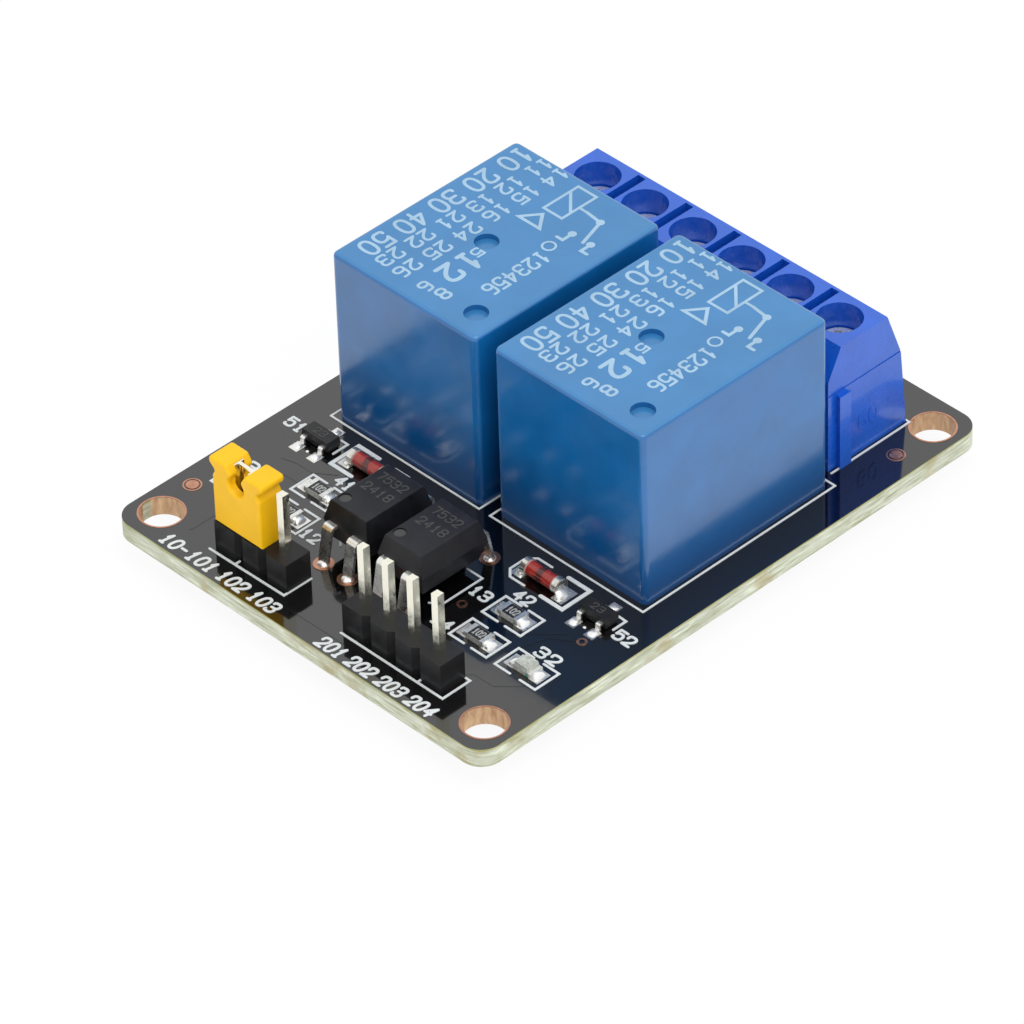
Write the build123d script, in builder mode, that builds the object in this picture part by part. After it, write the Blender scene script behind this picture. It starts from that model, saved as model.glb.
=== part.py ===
"""Two-channel relay module board.

A black circuit board carries two sealed relays, a six-way screw terminal block, two pin
headers with a pull-off jumper, two optocouplers and small surface-mounted parts.

Frame: +Z up, +X from the pin headers towards the terminal block, +Y towards channel one.
The origin is the centre of the four mounting holes on the board's underside.
"""
import os
from math import hypot, radians, sin

from build123d import *

os.makedirs("parts", exist_ok=True)

# Circuit board
board_length = 51.8
board_width = 38.8
board_thickness = 1.6
board_corner_radius = 1.8
mounting_pitch_x = 46.3
mounting_pitch_y = 33.9
mounting_hole_diameter = 3.4

# Leads, their holes and their solder joints
lead_drop = 1.9
lead_clearance = 0.12
solder_height = 1.3
solder_spread = 0.45
solder_tip_spread = 0.1

# Relay places and outside
relay_1_centre = (2.95, 8.07)
relay_2_centre = (3.25, -8.6)
relay_length = 19.0
relay_width = 15.1
relay_height = 15.5
relay_wall = 0.9
relay_corner_radius = 0.5
relay_edge_radius = 0.35
relay_mark_diameter = 1.9
relay_mark_depth = 0.45
relay_mark_places = ((-0.75, 0.2), (-7.2, -5.35))

# Relay pins, as on the common five-pin type, set in from the ends and sides of the case
relay_pin_end_margin = 2.4
relay_pin_side_margin = 1.55
relay_coil_pin_offset = 2.0
coil_pin_side = 0.6
common_pin_thickness = 0.6
contact_pin_width = 1.0
contact_strip_width = 2.0
contact_strip_thickness = 0.4
relay_base_thickness = 1.9
relay_base_gap = 0.05

# Relay magnet
yoke_thickness = 1.2
yoke_width = 8.0
yoke_foot_margin = 2.6
core_radius = 1.7
pole_radius = 2.8
pole_thickness = 0.7
magnet_fit = 0.03
bobbin_wall = 0.8
bobbin_flange_thickness = 0.8
bobbin_flange_side_gap = 0.15
bobbin_top_side_gap = 0.9
bobbin_yoke_gap = 0.1
winding_thickness = 2.1
winding_yoke_gap = 0.77
coil_pin_stub = 0.7

# Relay armature and contacts
armature_swing = 2.5
armature_thickness = 1.0
armature_width = 7.6
armature_overhang = 1.5
armature_back = 0.6
armature_seat_gap = 0.06
pole_gap_at_rest = 0.48
spring_thickness = 0.25
spring_width = 3.2
spring_end = 1.3
spring_bend_radius = 0.5
spring_tail_gap = 0.25
spring_tail_length = 3.2
contact_radius = 1.1
contact_height = 0.3
contact_gap = 0.03
contact_headroom = 0.24

# Terminal block outside
terminal_x = 17.76
terminal_pitch = 5.0
terminal_ways = 6
housing_height = 10.9
housing_top_reach = 2.46
housing_shoulder_height = 6.9
housing_shoulder_reach = 3.92
housing_foot_reach = 4.54
housing_back_reach = 3.8
housing_back_height = 8.3
screw_hole_diameter = 3.6
divider_width = 0.8
divider_reach = 2.2
divider_depth = 2.6
rib_centre_reach = 2.4
rib_root_width = 0.9
rib_tip_width = 1.2
rib_depth = 0.45
rib_height = 6.7
rib_fit = 0.05
seam_width = 0.15
seam_depth = 0.06

# Terminal block inside
chamber_width = 3.9
chamber_reach = 2.7
entry_width = 3.3
entry_height = 3.6
entry_floor = 1.3
contact_body_gap = 0.05
contact_body_thickness = 0.6
contact_plate_thickness = 1.2
contact_plate_height = 6.1
contact_floor = 0.5
terminal_pin_width = 1.0
terminal_pin_thickness = 0.8
screw_head_diameter = 3.3
screw_head_height = 1.4
screw_head_sink = 2.2
screw_shank_diameter = 2.4
screw_slot_width = 0.55
screw_slot_length = 2.5
screw_slot_depth = 0.7
screw_first_turn = 12
screw_turn_step = 37
screw_running_gap = 0.05
clamp_opening = 1.0
guard_thickness = 0.35
guard_width = 3.4
guard_reach = 1.9
guard_lip = 0.5
guard_gap = 0.02
guard_headroom = 0.15

# Pin headers
header_x = -21.9
header_pitch = 2.54
header_width = 2.4
header_height = 2.5
header_notch = 0.45
header_pin_side = 0.64
header_pin_reach = 8.05
header_pin_chamfer = 0.2
header_3_y = 7.35
header_4_y = -7.4

# Jumper on the two pins of the short header that lie furthest towards +Y
jumper_length = 5.0
jumper_width = 2.4
jumper_height = 5.9
jumper_profile_radius = 0.3
jumper_edge_radius = 0.25
jumper_ear_reach = 0.3
jumper_ear_height = 1.1
jumper_notch_height = 0.55
jumper_notch_depth = 0.3
jumper_slot_top = 2.0
jumper_slot_neck = 1.1
jumper_neck_depth = 0.7
jumper_hole_radius = 0.8
jumper_hole_depth = 1.5
jumper_cavity_length = 4.0
jumper_seat_gap = 0.02
clip_thickness = 0.12
clip_pin_gap = 0.03
clip_arm_width = 1.1
clip_headroom = 0.02
clip_roof_gap = 0.02
clip_lift = 0.9
clip_strip_width = 0.3

# Optocouplers
coupler_x = -14.58
coupler_1_y = 2.8
coupler_2_y = -2.9
coupler_length = 6.6
coupler_width = 4.6
coupler_body_height = 3.5
coupler_top_height = 4.8
coupler_draft = 14.0
coupler_edge_radius = 0.12
coupler_dimple_diameter = 1.0
coupler_dimple_depth = 0.12
coupler_dimple_place = (-2.0, 1.25)
coupler_lead_pitch = 2.54
coupler_shoulder_reach = 0.5
coupler_foot_reach = 1.1
coupler_lead_thickness = 0.25
coupler_lead_entry = 0.4
coupler_lead_width = 0.95
coupler_tail_width = 0.5
coupler_lead_bend = 0.3
coupler_tail_top = 0.15

# Surface-mounted parts
chip_length = 2.0
chip_width = 1.25
chip_height = 0.55
chip_cap_length = 0.4
chip_cap_step = 0.04
resistor_places = ((-13.65, 10.2), (-16.95, 10.0), (-13.6, -10.1), (-17.0, -10.1))
led_places = ((-17.0, 14.95), (-17.0, -14.95))
led_base_height = 0.4
led_lens_length = 1.3
led_lens_height = 0.75
led_lens_draft = 8.0
diode_places = ((-9.45, 9.2), (-9.45, -9.0))
diode_length = 3.7
diode_glass_diameter = 1.25
diode_cap_diameter = 1.35
diode_cap_length = 0.5
transistor_places = ((-9.5, 14.4), (-9.5, -14.65))
transistor_length = 2.8
transistor_width = 1.35
transistor_height = 0.9
transistor_lift = 0.1
transistor_draft = 8.0
transistor_lead_pitch = 1.9
transistor_lead_width = 0.42
transistor_lead_thickness = 0.15
transistor_lead_knee = 0.3
transistor_lead_entry = 0.25
transistor_lead_reach = 0.85
transistor_lead_bend = 0.12

# Values worked out from the sizes above
board_top = board_thickness
relay_centres = (relay_1_centre, relay_2_centre)
contact_pin_x = relay_length / 2 - relay_pin_end_margin
common_pin_x = -contact_pin_x
coil_pin_x = common_pin_x + relay_coil_pin_offset
relay_pin_y = relay_width / 2 - relay_pin_side_margin
cavity_length = relay_length - 2 * relay_wall
cavity_width = relay_width - 2 * relay_wall
bobbin_bore = core_radius + magnet_fit
bobbin_radius = bobbin_bore + bobbin_wall
winding_radius = bobbin_radius + winding_thickness
bobbin_flange_width = cavity_width - 2 * bobbin_flange_side_gap
bobbin_top_width = 2 * (relay_pin_y - bobbin_top_side_gap)
yoke_back = common_pin_x - yoke_thickness / 2
yoke_face = common_pin_x + yoke_thickness / 2
core_offset = yoke_face + winding_yoke_gap + winding_radius
lower_flange_z = relay_base_thickness + yoke_thickness
winding_z = lower_flange_z + bobbin_flange_thickness
armature_stack = pole_thickness + pole_gap_at_rest + armature_thickness
contact_stack = spring_thickness + 2 * contact_height + contact_gap + contact_strip_thickness
winding_top_room = bobbin_flange_thickness + armature_stack + contact_stack + contact_headroom + relay_wall
winding_height = relay_height - winding_top_room - winding_z
upper_flange_z = winding_z + winding_height
pole_z = upper_flange_z + bobbin_flange_thickness
pole_top = pole_z + pole_thickness
armature_z = pole_top + pole_gap_at_rest
yoke_top = armature_z - armature_seat_gap
spring_z = armature_z + armature_thickness
flange_length = 2 * (core_offset - yoke_face - bobbin_yoke_gap)
armature_end = core_offset + pole_radius + armature_overhang
contact_drop = (contact_pin_x + contact_radius - common_pin_x) * sin(radians(armature_swing))
moving_contact_bottom = spring_z - contact_height
moving_contact_top = spring_z + spring_thickness + contact_height
closed_contact_z = moving_contact_top + contact_gap
open_contact_z = moving_contact_bottom - contact_drop - contact_gap
housing_length = terminal_ways * terminal_pitch
way_places = [terminal_pitch * (way - (terminal_ways - 1) / 2) for way in range(terminal_ways)]
contact_plate_bottom = contact_plate_height - contact_plate_thickness
contact_width = chamber_width - 2 * contact_body_gap
screw_top = housing_height - screw_head_sink
screw_radius = screw_shank_diameter / 2
guard_top = contact_plate_bottom - clamp_opening - guard_lip - guard_headroom
screw_tip = guard_top + guard_gap
header_seat = board_top + header_height
jumper_y = header_3_y + header_pitch / 2
clip_gap = header_pin_side / 2 + clip_pin_gap
clip_reach = clip_gap + clip_thickness
clip_top_z = header_pin_reach - header_height + clip_headroom
cap_ceiling = clip_top_z + clip_thickness + clip_roof_gap
coupler_mould_z = coupler_top_height - coupler_body_height / 2
coupler_foot_x = coupler_length / 2 + coupler_foot_reach
chip_cap_y = (chip_length - chip_cap_length) / 2


def header_places(centre_y, ways):
    """Pin places of one header, from -Y to +Y."""
    return [(header_x, centre_y + header_pitch * (way - (ways - 1) / 2)) for way in range(ways)]


def coupler_places(centre_y):
    """Lead places of one optocoupler, each with the side of the body that it leaves."""
    half = coupler_lead_pitch / 2
    corners = [(side, row) for side in (-1, 1) for row in (-half, half)]
    return [(coupler_x + side * coupler_foot_x, centre_y + row, side) for side, row in corners]


header_3_places = header_places(header_3_y, 3)
header_4_places = header_places(header_4_y, 4)

# Every lead that passes through the board: its centre and its section along X and Y
leads = [(x, y, header_pin_side, header_pin_side) for x, y in header_3_places + header_4_places]
leads += [(terminal_x, y, terminal_pin_thickness, terminal_pin_width) for y in way_places]
for coupler_y in (coupler_1_y, coupler_2_y):
    leads += [(x, y, coupler_lead_thickness, coupler_tail_width) for x, y, _ in coupler_places(coupler_y)]
for relay_x, relay_y in relay_centres:
    leads.append((relay_x + common_pin_x, relay_y, common_pin_thickness, contact_pin_width))
    for side in (-1, 1):
        pin_y = relay_y + side * relay_pin_y
        leads.append((relay_x + coil_pin_x, pin_y, coil_pin_side, coil_pin_side))
        leads.append((relay_x + contact_pin_x, pin_y, contact_pin_width, contact_strip_thickness))


def lead_hole_radius(size_x, size_y):
    """Radius of the plated hole that a lead of this section passes through."""
    return hypot(size_x, size_y) / 2 + lead_clearance


# Circuit board, with its mounting holes and one plated hole for each lead
with BuildPart() as board:
    with BuildSketch():
        RectangleRounded(board_length, board_width, board_corner_radius)
        with GridLocations(mounting_pitch_x, mounting_pitch_y, 2, 2):
            Circle(mounting_hole_diameter / 2, mode=Mode.SUBTRACT)
        for x, y, size_x, size_y in leads:
            with Locations((x, y)):
                Circle(lead_hole_radius(size_x, size_y), mode=Mode.SUBTRACT)
    extrude(amount=board_thickness)
board.part.label = "circuit_board"
export_step(board.part, "parts/circuit_board.step")

# Solder cones on the underside, each closing round its own lead
with BuildPart() as solder:
    for x, y, size_x, size_y in leads:
        rim = lead_hole_radius(size_x, size_y) + solder_spread
        tip = hypot(size_x, size_y) / 2 + solder_tip_spread
        with Locations((x, y, -solder_height / 2)):
            Cone(tip, rim, solder_height)
            Box(size_x, size_y, solder_height, mode=Mode.SUBTRACT)
solder.part.label = "solder_joints"
export_step(solder.part, "parts/solder_joints.step")


def relay(number, centre_x, centre_y):
    """One sealed relay: case, base, magnet, hinged armature with its spring, and contacts."""
    seat = Plane((centre_x, centre_y, board_top))
    side = Plane((centre_x, centre_y, board_top), x_dir=(1, 0, 0), z_dir=(0, -1, 0))
    contact_front = Plane((centre_x + contact_pin_x, centre_y, board_top), x_dir=(0, 1, 0), z_dir=(1, 0, 0))
    pin_bottom = -board_thickness - lead_drop

    # Case, a thin box open below with two shallow round marks in its top
    with BuildPart() as case:
        with BuildSketch(seat):
            RectangleRounded(relay_length, relay_width, relay_corner_radius)
        extrude(amount=relay_height)
        fillet(case.faces().sort_by(Axis.Z)[-1].edges(), relay_edge_radius)
        with BuildSketch(seat):
            Rectangle(cavity_length, cavity_width)
        extrude(amount=relay_height - relay_wall, mode=Mode.SUBTRACT)
        with BuildSketch(seat.offset(relay_height)):
            with Locations(*relay_mark_places):
                Circle(relay_mark_diameter / 2)
        extrude(amount=-relay_mark_depth, mode=Mode.SUBTRACT)
    case.part.label = f"relay_{number}_case"
    export_step(case.part, f"parts/relay_{number}_case.step")

    # Base, which closes the case and lets the five pins through
    with BuildPart() as base:
        with BuildSketch(seat):
            Rectangle(cavity_length - 2 * relay_base_gap, cavity_width - 2 * relay_base_gap)
            with Locations((common_pin_x, 0)):
                Rectangle(common_pin_thickness, contact_pin_width, mode=Mode.SUBTRACT)
            with Locations((coil_pin_x, relay_pin_y), (coil_pin_x, -relay_pin_y)):
                Rectangle(coil_pin_side, coil_pin_side, mode=Mode.SUBTRACT)
            with Locations((contact_pin_x, relay_pin_y), (contact_pin_x, -relay_pin_y)):
                Rectangle(contact_pin_width, contact_strip_thickness, mode=Mode.SUBTRACT)
        extrude(amount=relay_base_thickness)
    base.part.label = f"relay_{number}_base"
    export_step(base.part, f"parts/relay_{number}_base.step")

    # Yoke, an iron angle whose tail is the common pin
    with BuildPart() as yoke:
        with BuildSketch(side):
            with BuildLine():
                Polyline(
                    (yoke_back, relay_base_thickness),
                    (core_offset + yoke_foot_margin, relay_base_thickness),
                    (core_offset + yoke_foot_margin, lower_flange_z),
                    (yoke_face, lower_flange_z),
                    (yoke_face, yoke_top),
                    (yoke_back, yoke_top),
                    close=True,
                )
            make_face()
        extrude(amount=yoke_width / 2, both=True)
        with BuildSketch(seat.offset(relay_base_thickness)):
            with Locations((common_pin_x, 0)):
                Rectangle(common_pin_thickness, contact_pin_width)
        extrude(amount=pin_bottom - relay_base_thickness)
        with BuildSketch(seat.offset(relay_base_thickness)):
            with Locations((core_offset, 0)):
                Circle(core_radius + magnet_fit)
        extrude(amount=yoke_thickness, mode=Mode.SUBTRACT)
    yoke.part.label = f"relay_{number}_yoke"
    export_step(yoke.part, f"parts/relay_{number}_yoke.step")

    # Core, riveted in the yoke's foot and headed by the pole face
    with BuildPart() as core:
        with BuildSketch(seat.offset(relay_base_thickness)):
            with Locations((core_offset, 0)):
                Circle(core_radius)
        extrude(amount=pole_z - relay_base_thickness)
        with BuildSketch(seat.offset(pole_z)):
            with Locations((core_offset, 0)):
                Circle(pole_radius)
        extrude(amount=pole_thickness)
    core.part.label = f"relay_{number}_core"
    export_step(core.part, f"parts/relay_{number}_core.step")

    # Bobbin, whose wide lower flange holds the coil pins
    with BuildPart() as bobbin:
        with BuildSketch(seat.offset(lower_flange_z)):
            with Locations((core_offset, 0)):
                Rectangle(flange_length, bobbin_flange_width)
            with Locations((coil_pin_x, relay_pin_y), (coil_pin_x, -relay_pin_y)):
                Rectangle(coil_pin_side, coil_pin_side, mode=Mode.SUBTRACT)
        extrude(amount=bobbin_flange_thickness)
        with BuildSketch(seat.offset(winding_z)):
            with Locations((core_offset, 0)):
                Circle(bobbin_radius)
        extrude(amount=winding_height)
        with BuildSketch(seat.offset(upper_flange_z)):
            with Locations((core_offset, 0)):
                Rectangle(flange_length, bobbin_top_width)
        extrude(amount=bobbin_flange_thickness)
        with BuildSketch(seat.offset(lower_flange_z)):
            with Locations((core_offset, 0)):
                Circle(bobbin_bore)
        extrude(amount=pole_z - lower_flange_z, mode=Mode.SUBTRACT)
    bobbin.part.label = f"relay_{number}_bobbin"
    export_step(bobbin.part, f"parts/relay_{number}_bobbin.step")

    # Coil winding
    with BuildPart() as coil:
        with BuildSketch(seat.offset(winding_z)):
            with Locations((core_offset, 0)):
                Circle(winding_radius)
                Circle(bobbin_radius, mode=Mode.SUBTRACT)
        extrude(amount=winding_height)
    coil.part.label = f"relay_{number}_coil"
    export_step(coil.part, f"parts/relay_{number}_coil.step")

    # Coil pins, with stubs above the flange where the wire ends are wound
    with BuildPart() as coil_pins:
        with BuildSketch(seat.offset(pin_bottom)):
            with Locations((coil_pin_x, relay_pin_y), (coil_pin_x, -relay_pin_y)):
                Rectangle(coil_pin_side, coil_pin_side)
        extrude(amount=winding_z + coil_pin_stub - pin_bottom)
    coil_pins.part.label = f"relay_{number}_coil_pins"
    export_step(coil_pins.part, f"parts/relay_{number}_coil_pins.step")

    # Armature, an iron plate that rocks on the yoke's top edge
    with BuildPart() as armature:
        with BuildSketch(side):
            with BuildLine():
                Polyline(
                    (common_pin_x - armature_back, armature_z),
                    (armature_end, armature_z),
                    (armature_end, spring_z),
                    (common_pin_x - armature_back, spring_z),
                    close=True,
                )
            make_face()
        extrude(amount=armature_width / 2, both=True)
    armature.part.label = f"relay_{number}_armature"
    export_step(armature.part, f"parts/relay_{number}_armature.step")

    # Contact spring, a bent blade on the armature with the moving contact at its free end
    tail_x = yoke_back - spring_tail_gap - spring_thickness / 2
    blade_z = spring_z + spring_thickness / 2
    with BuildPart() as spring:
        with BuildSketch(side):
            with BuildLine():
                FilletPolyline(
                    (tail_x, armature_z - spring_tail_length),
                    (tail_x, blade_z),
                    (contact_pin_x + spring_end, blade_z),
                    radius=spring_bend_radius,
                )
            trace(line_width=spring_thickness)
        extrude(amount=spring_width / 2, both=True)
        with BuildSketch(seat.offset(moving_contact_bottom)):
            with Locations((contact_pin_x, 0)):
                Circle(contact_radius)
        extrude(amount=moving_contact_top - moving_contact_bottom)
    spring.part.label = f"relay_{number}_contact_spring"
    export_step(spring.part, f"parts/relay_{number}_contact_spring.step")

    # Fixed contacts: each pin rises beside the magnet and turns in over or under the moving contact
    closed_blade_z = closed_contact_z + contact_height
    open_blade_z = open_contact_z - contact_height - contact_strip_thickness
    fixed_contacts = (
        ("closed_terminal", 1, closed_blade_z, closed_contact_z),
        ("open_terminal", -1, open_blade_z, open_contact_z - contact_height),
    )
    strip_foot = relay_base_thickness
    blade_length = relay_pin_y + contact_radius + contact_strip_thickness / 2
    for name, end, blade_z, button_z in fixed_contacts:
        strip_height = blade_z + contact_strip_thickness - strip_foot
        blade_y = end * (relay_pin_y + contact_strip_thickness / 2 - blade_length / 2)
        with BuildPart() as terminal:
            with BuildSketch(contact_front):
                with Locations((end * relay_pin_y, strip_foot)):
                    Rectangle(contact_strip_thickness, strip_height, align=(Align.CENTER, Align.MIN))
                with Locations((blade_y, blade_z)):
                    Rectangle(blade_length, contact_strip_thickness, align=(Align.CENTER, Align.MIN))
            extrude(amount=contact_strip_width / 2, both=True)
            with BuildSketch(seat.offset(strip_foot)):
                with Locations((contact_pin_x, end * relay_pin_y)):
                    Rectangle(contact_pin_width, contact_strip_thickness)
            extrude(amount=pin_bottom - strip_foot)
            with BuildSketch(seat.offset(button_z)):
                with Locations((contact_pin_x, 0)):
                    Circle(contact_radius)
            extrude(amount=contact_height)
        terminal.part.label = f"relay_{number}_{name}"
        export_step(terminal.part, f"parts/relay_{number}_{name}.step")


for number, (centre_x, centre_y) in enumerate(relay_centres, start=1):
    relay(number, centre_x, centre_y)


def dovetail(end_y, gap):
    """Outline of the rib that joins one terminal block to the next, or of its groove with a gap."""
    root = rib_root_width / 2 + gap
    tip = rib_tip_width / 2 + gap
    return [
        (-rib_centre_reach - root, end_y),
        (-rib_centre_reach + root, end_y),
        (-rib_centre_reach + tip, end_y - rib_depth - gap),
        (-rib_centre_reach - tip, end_y - rib_depth - gap),
    ]


# Terminal block housing: one moulding with a screw well and a wire chamber for each way
terminal_side = Plane((terminal_x, 0, board_top), x_dir=(1, 0, 0), z_dir=(0, -1, 0))
terminal_seat = Plane((terminal_x, 0, board_top))
well_places = [(0, y) for y in way_places]
divider_places = [(0, y + terminal_pitch / 2) for y in way_places[:-1]]
with BuildPart() as housing:
    with BuildSketch(terminal_side):
        with BuildLine():
            Polyline(
                (-housing_back_reach, 0),
                (housing_foot_reach, 0),
                (housing_shoulder_reach, housing_shoulder_height),
                (housing_top_reach, housing_height),
                (-housing_top_reach, housing_height),
                (-housing_back_reach, housing_back_height),
                close=True,
            )
        make_face()
    extrude(amount=housing_length / 2, both=True)
    with BuildSketch(terminal_seat):
        with BuildLine():
            Polyline(*dovetail(-housing_length / 2, 0), close=True)
        make_face()
    extrude(amount=rib_height)
    with BuildSketch(terminal_seat):
        with BuildLine():
            Polyline(*dovetail(housing_length / 2, rib_fit), close=True)
        make_face()
    extrude(amount=rib_height + rib_fit, mode=Mode.SUBTRACT)
    # Fine seam along both end faces
    with BuildSketch(terminal_seat.offset(housing_shoulder_height)):
        with Locations((0, housing_length / 2), (0, -housing_length / 2)):
            Rectangle(2 * housing_foot_reach, 2 * seam_depth)
    extrude(amount=seam_width, mode=Mode.SUBTRACT)
    # Screw wells, and the slots that divide the ways from the back of the top
    with BuildSketch(terminal_seat.offset(contact_plate_height)):
        with Locations(*well_places):
            Circle(screw_hole_diameter / 2)
    extrude(amount=housing_height - contact_plate_height, mode=Mode.SUBTRACT)
    with BuildSketch(terminal_seat.offset(housing_height - divider_depth)):
        with Locations(*[((divider_reach - housing_back_reach) / 2, y) for _, y in divider_places]):
            Rectangle(divider_reach + housing_back_reach, divider_width)
    extrude(amount=divider_depth, mode=Mode.SUBTRACT)
    # Wire chambers, open below, and the wire entries in the front
    with BuildSketch(terminal_seat):
        with Locations(*well_places):
            Rectangle(2 * chamber_reach, chamber_width)
    extrude(amount=contact_plate_height, mode=Mode.SUBTRACT)
    entry_face = Plane((terminal_x + housing_foot_reach, 0, board_top), x_dir=(0, 1, 0), z_dir=(1, 0, 0))
    with BuildSketch(entry_face):
        with Locations(*[(y, entry_floor + entry_height / 2) for y in way_places]):
            Rectangle(entry_width, entry_height)
    extrude(amount=chamber_reach - housing_foot_reach, mode=Mode.SUBTRACT)
housing.part.label = "terminal_housing"
export_step(housing.part, "parts/terminal_housing.step")

# Contact bodies of the terminal block: bent straps, each with a tapped top plate and a solder pin
contact_reach = chamber_reach - contact_body_gap
with BuildPart() as contacts:
    for y in way_places:
        with BuildSketch(Plane((terminal_x, y, board_top), x_dir=(1, 0, 0), z_dir=(0, -1, 0))):
            with BuildLine():
                Polyline(
                    (-contact_reach, contact_floor),
                    (contact_reach, contact_floor),
                    (contact_reach, contact_floor + contact_body_thickness),
                    (-contact_reach + contact_body_thickness, contact_floor + contact_body_thickness),
                    (-contact_reach + contact_body_thickness, contact_plate_bottom),
                    (contact_reach, contact_plate_bottom),
                    (contact_reach, contact_plate_height),
                    (-contact_reach, contact_plate_height),
                    close=True,
                )
            make_face()
        extrude(amount=contact_width / 2, both=True)
    with BuildSketch(terminal_seat.offset(contact_floor)):
        with Locations(*well_places):
            Rectangle(terminal_pin_thickness, terminal_pin_width)
    extrude(amount=-contact_floor - board_thickness - lead_drop)
    with BuildSketch(terminal_seat.offset(contact_plate_bottom)):
        with Locations(*well_places):
            Circle(screw_radius + screw_running_gap)
    extrude(amount=contact_plate_thickness, mode=Mode.SUBTRACT)
contacts.part.label = "terminal_contacts"
export_step(contacts.part, "parts/terminal_contacts.step")

for way, y in enumerate(way_places, start=1):
    way_seat = Plane((terminal_x, y, board_top))
    way_side = Plane((terminal_x, y, board_top), x_dir=(1, 0, 0), z_dir=(0, -1, 0))

    # Clamp screw, with a cross recess in its head
    turn = screw_first_turn + screw_turn_step * way
    with BuildPart() as screw:
        with BuildSketch(way_seat.offset(screw_tip)):
            Circle(screw_radius)
        extrude(amount=screw_top - screw_tip)
        with BuildSketch(way_seat.offset(screw_top - screw_head_height)):
            Circle(screw_head_diameter / 2)
        extrude(amount=screw_head_height)
        with BuildSketch(way_seat.offset(screw_top)):
            Rectangle(screw_slot_length, screw_slot_width, rotation=turn)
            Rectangle(screw_slot_width, screw_slot_length, rotation=turn)
        extrude(amount=-screw_slot_depth, mode=Mode.SUBTRACT)
    screw.part.label = f"clamp_screw_{way}"
    export_step(screw.part, f"parts/clamp_screw_{way}.step")

    # Wire guard, the leaf under the screw, with a turned-up front lip
    with BuildPart() as guard:
        with BuildSketch(way_side):
            with BuildLine():
                Polyline(
                    (-guard_reach, guard_top - guard_thickness),
                    (guard_reach, guard_top - guard_thickness),
                    (guard_reach, guard_top + guard_lip),
                    (guard_reach - guard_thickness, guard_top + guard_lip),
                    (guard_reach - guard_thickness, guard_top),
                    (-guard_reach, guard_top),
                    close=True,
                )
            make_face()
        extrude(amount=guard_width / 2, both=True)
    guard.part.label = f"wire_guard_{way}"
    export_step(guard.part, f"parts/wire_guard_{way}.step")


def header(name, places):
    """One pin header: a notched insulator and its square pins."""
    ways = len(places)
    centre_y = sum(y for _, y in places) / ways
    partings = [centre_y + header_pitch * (way - ways / 2) for way in range(1, ways)]
    notch_side = header_notch * 2 ** 0.5
    with BuildPart() as insulator:
        with BuildSketch(Plane.XY.offset(board_top)):
            with Locations((header_x, centre_y)):
                Rectangle(header_width, ways * header_pitch)
            with Locations(*[(header_x + side * header_width / 2, y) for y in partings for side in (-1, 1)]):
                Rectangle(notch_side, notch_side, rotation=45, mode=Mode.SUBTRACT)
            with Locations(*places):
                Rectangle(header_pin_side, header_pin_side, mode=Mode.SUBTRACT)
        extrude(amount=header_height)
    insulator.part.label = f"{name}_insulator"
    export_step(insulator.part, f"parts/{name}_insulator.step")

    with BuildPart() as pins:
        with BuildSketch(Plane.XY.offset(-lead_drop)):
            with Locations(*places):
                Rectangle(header_pin_side, header_pin_side)
        extrude(amount=lead_drop + board_top + header_pin_reach)
        chamfer(pins.faces().filter_by(Axis.Z).edges(), header_pin_chamfer)
    pins.part.label = f"{name}_pins"
    export_step(pins.part, f"parts/{name}_pins.step")


header("header_3", header_3_places)
header("header_4", header_4_places)

# Jumper cap: a block with finger ears and an open notch in its top, hollow below a thin roof
jumper_z = header_seat + jumper_seat_gap
jumper_front = Plane((header_x, jumper_y, jumper_z), x_dir=(0, 1, 0), z_dir=(1, 0, 0))
jumper_seat = Plane((header_x, jumper_y, jumper_z))
half_cap = jumper_length / 2
ear_z = jumper_height - jumper_ear_height
hole_z = jumper_height - jumper_hole_depth
cap_outline = [
    (half_cap, 0),
    (half_cap, ear_z - jumper_notch_height),
    (half_cap - jumper_notch_depth, ear_z),
    (half_cap + jumper_ear_reach, ear_z + jumper_notch_height),
    (half_cap + jumper_ear_reach, jumper_height),
    (jumper_slot_top / 2, jumper_height),
    (jumper_slot_neck / 2, jumper_height - jumper_neck_depth),
    (jumper_slot_neck / 2, hole_z),
]
with BuildPart() as cap:
    with BuildSketch(jumper_front) as cap_face:
        with BuildLine():
            Polyline(*cap_outline, *[(-y, z) for y, z in reversed(cap_outline)], close=True)
        make_face()
        with Locations((0, hole_z)):
            Circle(jumper_hole_radius, mode=Mode.SUBTRACT)
        upper = cap_face.vertices().filter_by_position(Axis.Y, jumper_height / 2, jumper_height)
        fillet(upper, jumper_profile_radius)
    extrude(amount=jumper_width / 2, both=True)
    fillet(cap.faces().filter_by(Axis.X).edges(), jumper_edge_radius)
    with BuildSketch(jumper_seat):
        Rectangle(2 * clip_reach, jumper_cavity_length)
    extrude(amount=cap_ceiling, mode=Mode.SUBTRACT)
cap.part.label = "jumper_cap"
export_step(cap.part, "parts/jumper_cap.step")

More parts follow.
